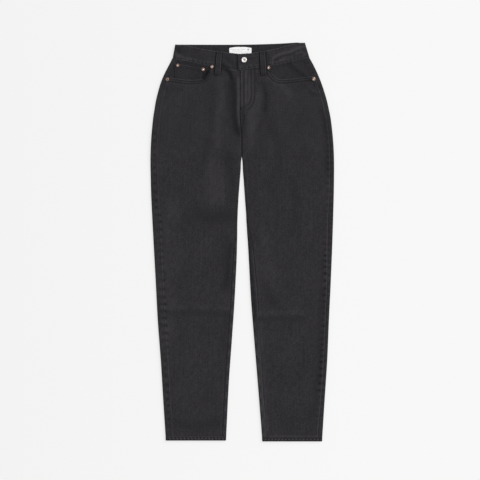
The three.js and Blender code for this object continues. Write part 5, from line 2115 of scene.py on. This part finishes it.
@dataclass
class Sewing:
    """All the stitches: rows are laid as paths, then Geometry Nodes lay the stitches along them.

    The sink is how deep a thread lies in the cloth.
    """

    dresser: Dresser
    waist: Waist
    pockets: Pockets
    rows: dict[Thread, list[Points]] = field(default_factory=dict)
    sink: float = 0.17

    def lay(self, thread: Thread, path: Points, level: Callable[[Points, Points], Points]) -> None:
        """Adds a row that lies on a surface.

        Args:
            thread: The thread.
            path: Page points of the row.
            level: The surface's height at a place.
        """
        even = resample(path, max(int(path_length(path) / 0.8), 3))
        self.add(thread, even, level(*even.T) + thread.thick / 2 - self.sink)

    def add(self, thread: Thread, path: Points, height: Points) -> None:
        """Adds a row at heights of its own."""
        self.rows.setdefault(thread, []).append(join(*path.T, height))

    def tack(self, start: tuple[float, float], end: tuple[float, float], level: Callable) -> None:
        """Adds a bar tack: close stitches across the line from start to end."""
        run = np.array(end) - np.array(start)
        length = float(np.hypot(*run))
        across = np.array([-run[1], run[0]]) / length
        for share in np.arange(0.0, 1.0, Thread.TACK.pitch / length):
            self.single(np.array(start) + run * share, across, level)

    def single(self, middle: Points, run: Points, level: Callable) -> None:
        """Adds one stitch: its path starts in the stitch's middle, where the stitch is laid."""
        path = np.stack([middle, middle + 0.5 * run])
        self.add(Thread.TACK, path, level(*path.T) + 0.12)

    def front(self) -> None:
        """Rows on the front panels: pocket mouths, fly and rise."""
        for side in SIDES:
            for path in front_rows(side):
                self.lay(Thread.TOP, path, front_support)
        for start, end in TACKS:
            self.tack(start, end, front_support)

    def legs(self) -> None:
        """Rows of the inseams and hems."""
        for side in SIDES:
            y = np.arange(side.hem_line + CLOTH.hem_tall + 2, CLOTH.fork - 22, 2.0)
            fell = join(side.sign * (side.inside(y) + FELL_ROW), y)
            self.lay(Thread.TOP, fell, lambda a, b, s=side: SURFACE.height(s, a, b) + 0.3)
            inside, outside = float(side.inside(side.hem_line)), float(side.outside(side.hem_line))
            row = join(side.sign * np.arange(inside + 2.5, outside - 2.5, 2.0), HEM_ROW)
            self.lay(Thread.HEM, row, lambda a, b, s=side: SURFACE.height(s, a, b))

    def band(self) -> None:
        """Rows along the waistband's edges, on the front and inside the back."""
        right = np.arange(-160.0, CLOTH.over_end - 1, 3.0)
        left = np.arange(CLOTH.over_end + BAND_ROW, 155.0, 3.0)
        for x, table in ((right, BAND_TOP_RIGHT), (left, BAND_TOP_LEFT)):
            self.lay(Thread.TOP, join(x, BAND_LOW_FRONT(x) + BAND_ROW), front_support)
            self.lay(Thread.TOP, join(self.waist.lean_in(x, 1.0), table(x) - BAND_ROW), front_support)
        end_x = CLOTH.over_end + BAND_ROW
        ends = [(end_x, BAND_LOW_FRONT(end_x) + BAND_ROW), (end_x, BAND_TOP_LEFT(end_x) - BAND_ROW)]
        self.lay(Thread.TOP, np.array(ends), front_support)
        back = np.arange(-150.0, 150.0, 3.0)
        inner = CLOTH.seat_lift + CLOTH.band_thick
        self.lay(Thread.TOP, join(back, BAND_TOP_BACK(back) - BAND_ROW), lambda a, b: inner + 0 * a)
        for sign in (-1, 1):
            hole = np.arange(BUTTONHOLE[0] + 1.0, BUTTONHOLE[1] - 0.5, Thread.TACK.pitch)
            middle = BAND_LOW_FRONT(hole) + BUTTONHOLE_UP * (BAND_TOP_LEFT(hole) - BAND_LOW_FRONT(hole))
            for x, y in zip(hole, middle):
                self.single(np.array([x, y + sign * 2.0]), np.array([0.0, 1.0]), front_support)

    def small(self) -> None:
        """Rows on the belt loops and the coin pocket."""
        for loop in FRONT_LOOPS:
            y = np.linspace(loop.top[1] - 1, loop.bottom[1] + 1.5, 40)
            for across in (-LOOP_ROWS, LOOP_ROWS):
                self.lay(Thread.TOP, join(loop.centre(y) + across, y), loop.outer_face)
            for (x, end_y), inset in ((loop.bottom, 4.5), (loop.top, -4)):
                self.tack((x - LOOP_TACK, end_y + inset), (x + LOOP_TACK, end_y + inset), loop.outer_face)
        spread = np.linspace(0.03, 0.97, 60)
        flat = 0 * spread
        wide, tall = COIN_SIZE
        for row in COIN_ROWS:
            top = (spread, flat + row / tall)
            ends = [(flat + share, spread) for share in (row / wide, 1 - row / wide)]
            for u, v in (top, *ends):
                self.lay(Thread.TOP, join(*self.pockets.coin_point(u, v)), self.pockets.coin_level)

    def underside(self) -> None:
        """Rows on the back: yokes, rise and back pockets."""
        for offset in PATCH_ROWS:
            for side in SIDES:
                reach = float(side.outside(CLOTH.yoke_side)) - 5.0
                x = side.sign * np.arange(3.0, reach, 3.0)
                self.under(join(x, yoke_seam(x) - offset), CLOTH.seat_lift)
                outline = self.pockets.back_outline(side, offset)
                self.under(np.concatenate([outline[1:], outline[:1]]), UNDERSIDE_ROOM)
            y = np.arange(CLOTH.fork + 20, 380, 3.0)
            self.under(join(2.0 + offset * 0.7, y), CLOTH.seat_lift)
        for side in SIDES:
            outline = self.pockets.back_outline(side, PATCH_ROWS[0])
            for inset in (11.0, 20.0):
                self.under(outline[:2] - np.array([0.0, inset]), UNDERSIDE_ROOM)

    def under(self, path: Points, level: float) -> None:
        """Adds a row on the underside, seen from below."""
        even = resample(path, max(int(path_length(path) / 2), 3))
        self.add(Thread.TOP, even, level - Thread.TOP.thick / 2 + 0.3)

    def build(self, name: str) -> None:
        """Turns the rows laid so far into stitches and clears them.

        Args:
            name: Start of the pieces' names.
        """
        for thread, rows in self.rows.items():
            points = np.concatenate(rows)
            edges = []
            start = 0
            for row in rows:
                edges += [(start + i, start + i + 1) for i in range(len(row) - 1)]
                start += len(row)
            mesh = bpy.data.meshes.new(f"{name}_paths")
            mesh.from_pydata(self.dresser.maker.place(points).tolist(), edges, [])
            carrier = bpy.data.objects.new(f"{name}_paths", mesh)
            bpy.context.scene.collection.objects.link(carrier)
            self.stitch(carrier, thread, f"{name}_{thread.name.lower()}")
        self.rows = {}

    def stitch(self, carrier: Piece, thread: Thread, name: str) -> None:
        """Lays stitches along a carrier's paths and keeps them as a plain mesh.

        Args:
            carrier: An object that holds the paths.
            thread: The thread.
            name: The stitches' name.
        """
        modifier = carrier.modifiers.new("stitches", "NODES")
        modifier.node_group = stitch_nodes()
        values = {
            "Pitch": thread.pitch * MM,
            "Length": thread.length * MM,
            "Thickness": thread.thick * MM,
            "Thread": self.dresser.finishes.thread,
        }
        if thread is Thread.TACK:
            # Each stitch of a tack has a short path of its own, which is to hold one stitch alone.
            values["Pitch"] = 2.0 * MM
        for item in modifier.node_group.interface.items_tree:
            if item.in_out == "INPUT" and item.name in values:
                modifier[item.identifier] = values[item.name]
        evaluated = carrier.evaluated_get(bpy.context.evaluated_depsgraph_get())
        mesh = bpy.data.meshes.new_from_object(evaluated)
        bpy.data.objects.remove(carrier)
        piece = bpy.data.objects.new(name, mesh)
        bpy.context.scene.collection.objects.link(piece)
        self.dresser.dress(piece, self.dresser.finishes.thread, "denim")


def stitch_nodes() -> bpy.types.NodeTree:
    """Makes the nodes that lay stitches along paths, or finds them.

    Returns:
        The node group.
    """
    known = bpy.data.node_groups.get("stitches")
    if known:
        return known
    tree = bpy.data.node_groups.new("stitches", "GeometryNodeTree")
    tree.interface.new_socket("Paths", in_out="INPUT", socket_type="NodeSocketGeometry")
    for label in ("Pitch", "Length", "Thickness"):
        tree.interface.new_socket(label, in_out="INPUT", socket_type="NodeSocketFloat")
    tree.interface.new_socket("Thread", in_out="INPUT", socket_type="NodeSocketMaterial")
    tree.interface.new_socket("Stitches", in_out="OUTPUT", socket_type="NodeSocketGeometry")
    nodes = tree.nodes
    entry = nodes.new("NodeGroupInput")
    leave = nodes.new("NodeGroupOutput")
    curve = nodes.new("GeometryNodeMeshToCurve")
    spread = nodes.new("GeometryNodeCurveToPoints")
    spread.mode = "LENGTH"
    bead = nodes.new("GeometryNodeMeshUVSphere")
    bead.inputs["Segments"].default_value = 6
    bead.inputs["Rings"].default_value = 4
    bead.inputs["Radius"].default_value = 0.5
    size = nodes.new("ShaderNodeCombineXYZ")
    place = nodes.new("GeometryNodeInstanceOnPoints")
    realize = nodes.new("GeometryNodeRealizeInstances")
    finish = nodes.new("GeometryNodeSetMaterial")
    for source, label, target, entrance in (
        (entry, "Paths", curve, "Mesh"),
        (curve, "Curve", spread, "Curve"),
        (entry, "Pitch", spread, "Length"),
        (entry, "Thickness", size, "X"),
        (entry, "Thickness", size, "Y"),
        (entry, "Length", size, "Z"),
        (spread, "Points", place, "Points"),
        (spread, "Rotation", place, "Rotation"),
        (bead, "Mesh", place, "Instance"),
        (size, "Vector", place, "Scale"),
        (place, "Instances", realize, "Geometry"),
        (realize, "Geometry", finish, "Geometry"),
        (entry, "Thread", finish, "Material"),
        (finish, "Geometry", leave, "Stitches"),
    ):
        tree.links.new(source.outputs[label], target.inputs[entrance])
    return tree


@dataclass
class Studio:
    """Floor, lights and camera: straight down, with soft light from the upper right."""

    frame_wide: float = 1.2
    lens: float = 85.0
    sensor: float = 36.0
    aim: Place = (-5.6, 4.6)
    floor_half: float = 6.0
    sky: float = 0.55
    sun: float = 2.3
    sun_angle: float = 42.0
    sun_tilt: float = 52.0
    sun_turn: float = 40.0

    def build(self, maker: MeshMaker) -> None:
        """Makes the floor, the lights and the camera.

        Args:
            maker: Knows where the page lies in the frame.
        """
        self.floor()
        self.lights()
        height = self.frame_wide * self.lens / self.sensor
        data = bpy.data.cameras.new("camera")
        data.lens = self.lens
        data.sensor_width = self.sensor
        data.clip_end = 50
        camera = bpy.data.objects.new("camera", data)
        centre = maker.place(np.array([*self.aim, 0.0]))
        camera.location = (centre[0], centre[1], height)
        bpy.context.scene.collection.objects.link(camera)
        bpy.context.scene.camera = camera
        bpy.context.scene.view_settings.view_transform = "Standard"

    def floor(self) -> None:
        """Makes the floor: a faint grey under an even white glow, which grows a little brighter towards the
        right as a painted fall of light.
        """
        mesh = bpy.data.meshes.new("floor")
        half = self.floor_half
        corners = [(-half, -half, 0), (half, -half, 0), (half, half, 0), (-half, half, 0)]
        mesh.from_pydata(corners, [], [(0, 1, 2, 3)])
        floor = bpy.data.objects.new("floor", mesh)
        bpy.context.scene.collection.objects.link(floor)
        paint = Paint("glowing_floor")
        split = paint.node("SeparateXYZ", {"Vector": paint.place})
        # Painted light: the glow rises slightly from left to right.
        spread = {"From Min": -0.6, "From Max": 0.3, "To Min": 0.655, "To Max": 0.697}
        painted_light_ramp = paint.node("MapRange", {"Value": split.outputs["X"]}, spread)
        paint.tree.links.new(painted_light_ramp.outputs["Result"], paint.shader.inputs["Emission Strength"])
        grey = {"Base Color": (0.24, 0.24, 0.24, 1), "Roughness": 0.9, "Specular IOR Level": 0.0}
        mesh.materials.append(paint.finish({**grey, "Emission Color": (1, 1, 1, 1)}))

    def lights(self) -> None:
        """Makes an even sky and one far, soft lamp at the upper right."""
        world = bpy.data.worlds.new("studio")
        world.use_nodes = True
        background = world.node_tree.nodes["Background"]
        background.inputs["Color"].default_value = (1, 1, 1, 1)
        background.inputs["Strength"].default_value = self.sky
        bpy.context.scene.world = world
        data = bpy.data.lights.new("key", "SUN")
        data.energy = self.sun
        data.angle = math.radians(self.sun_angle)
        lamp = bpy.data.objects.new("key", data)
        lamp.rotation_euler = (0, math.radians(self.sun_tilt), math.radians(self.sun_turn))
        bpy.context.scene.collection.objects.link(lamp)


def main() -> None:
    """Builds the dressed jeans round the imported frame."""
    logging.basicConfig(level=logging.INFO, format="%(message)s")
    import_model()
    maker = MeshMaker()
    dresser = Dresser(maker, Finishes())
    Studio().build(maker)
    panels = LegPanels(dresser)
    panels.front(RIGHT, SCOOP_RIGHT)
    panels.front(LEFT, SCOOP_LEFT)
    for side in SIDES:
        panels.back(side)
        panels.yoke(side)
        panels.hem(side)
    waist = Waist(dresser)
    waist.band()
    waist.label()
    for loop in FRONT_LOOPS:
        waist.front_loop(loop)
    for name in BACK_LOOPS:
        waist.back_loop(name)
    pockets = Pockets(dresser)
    pockets.facing(RIGHT, -66)
    pockets.facing(LEFT, 57)
    pockets.coin()
    for side in SIDES:
        pockets.back(side)
    hardware = Hardware(dresser)
    hardware.button()
    hardware.rivets()
    sewing = Sewing(dresser, waist, pockets)
    sewing.front()
    sewing.legs()
    sewing.band()
    sewing.small()
    sewing.build("stitches_front")
    sewing.underside()
    sewing.build("stitches_back")
    zip_tape = bpy.data.objects["zip"]
    zip_tape.data.materials.clear()
    zip_tape.data.materials.append(dresser.finishes.zip_tape)


if __name__ == "__main__":
    main()
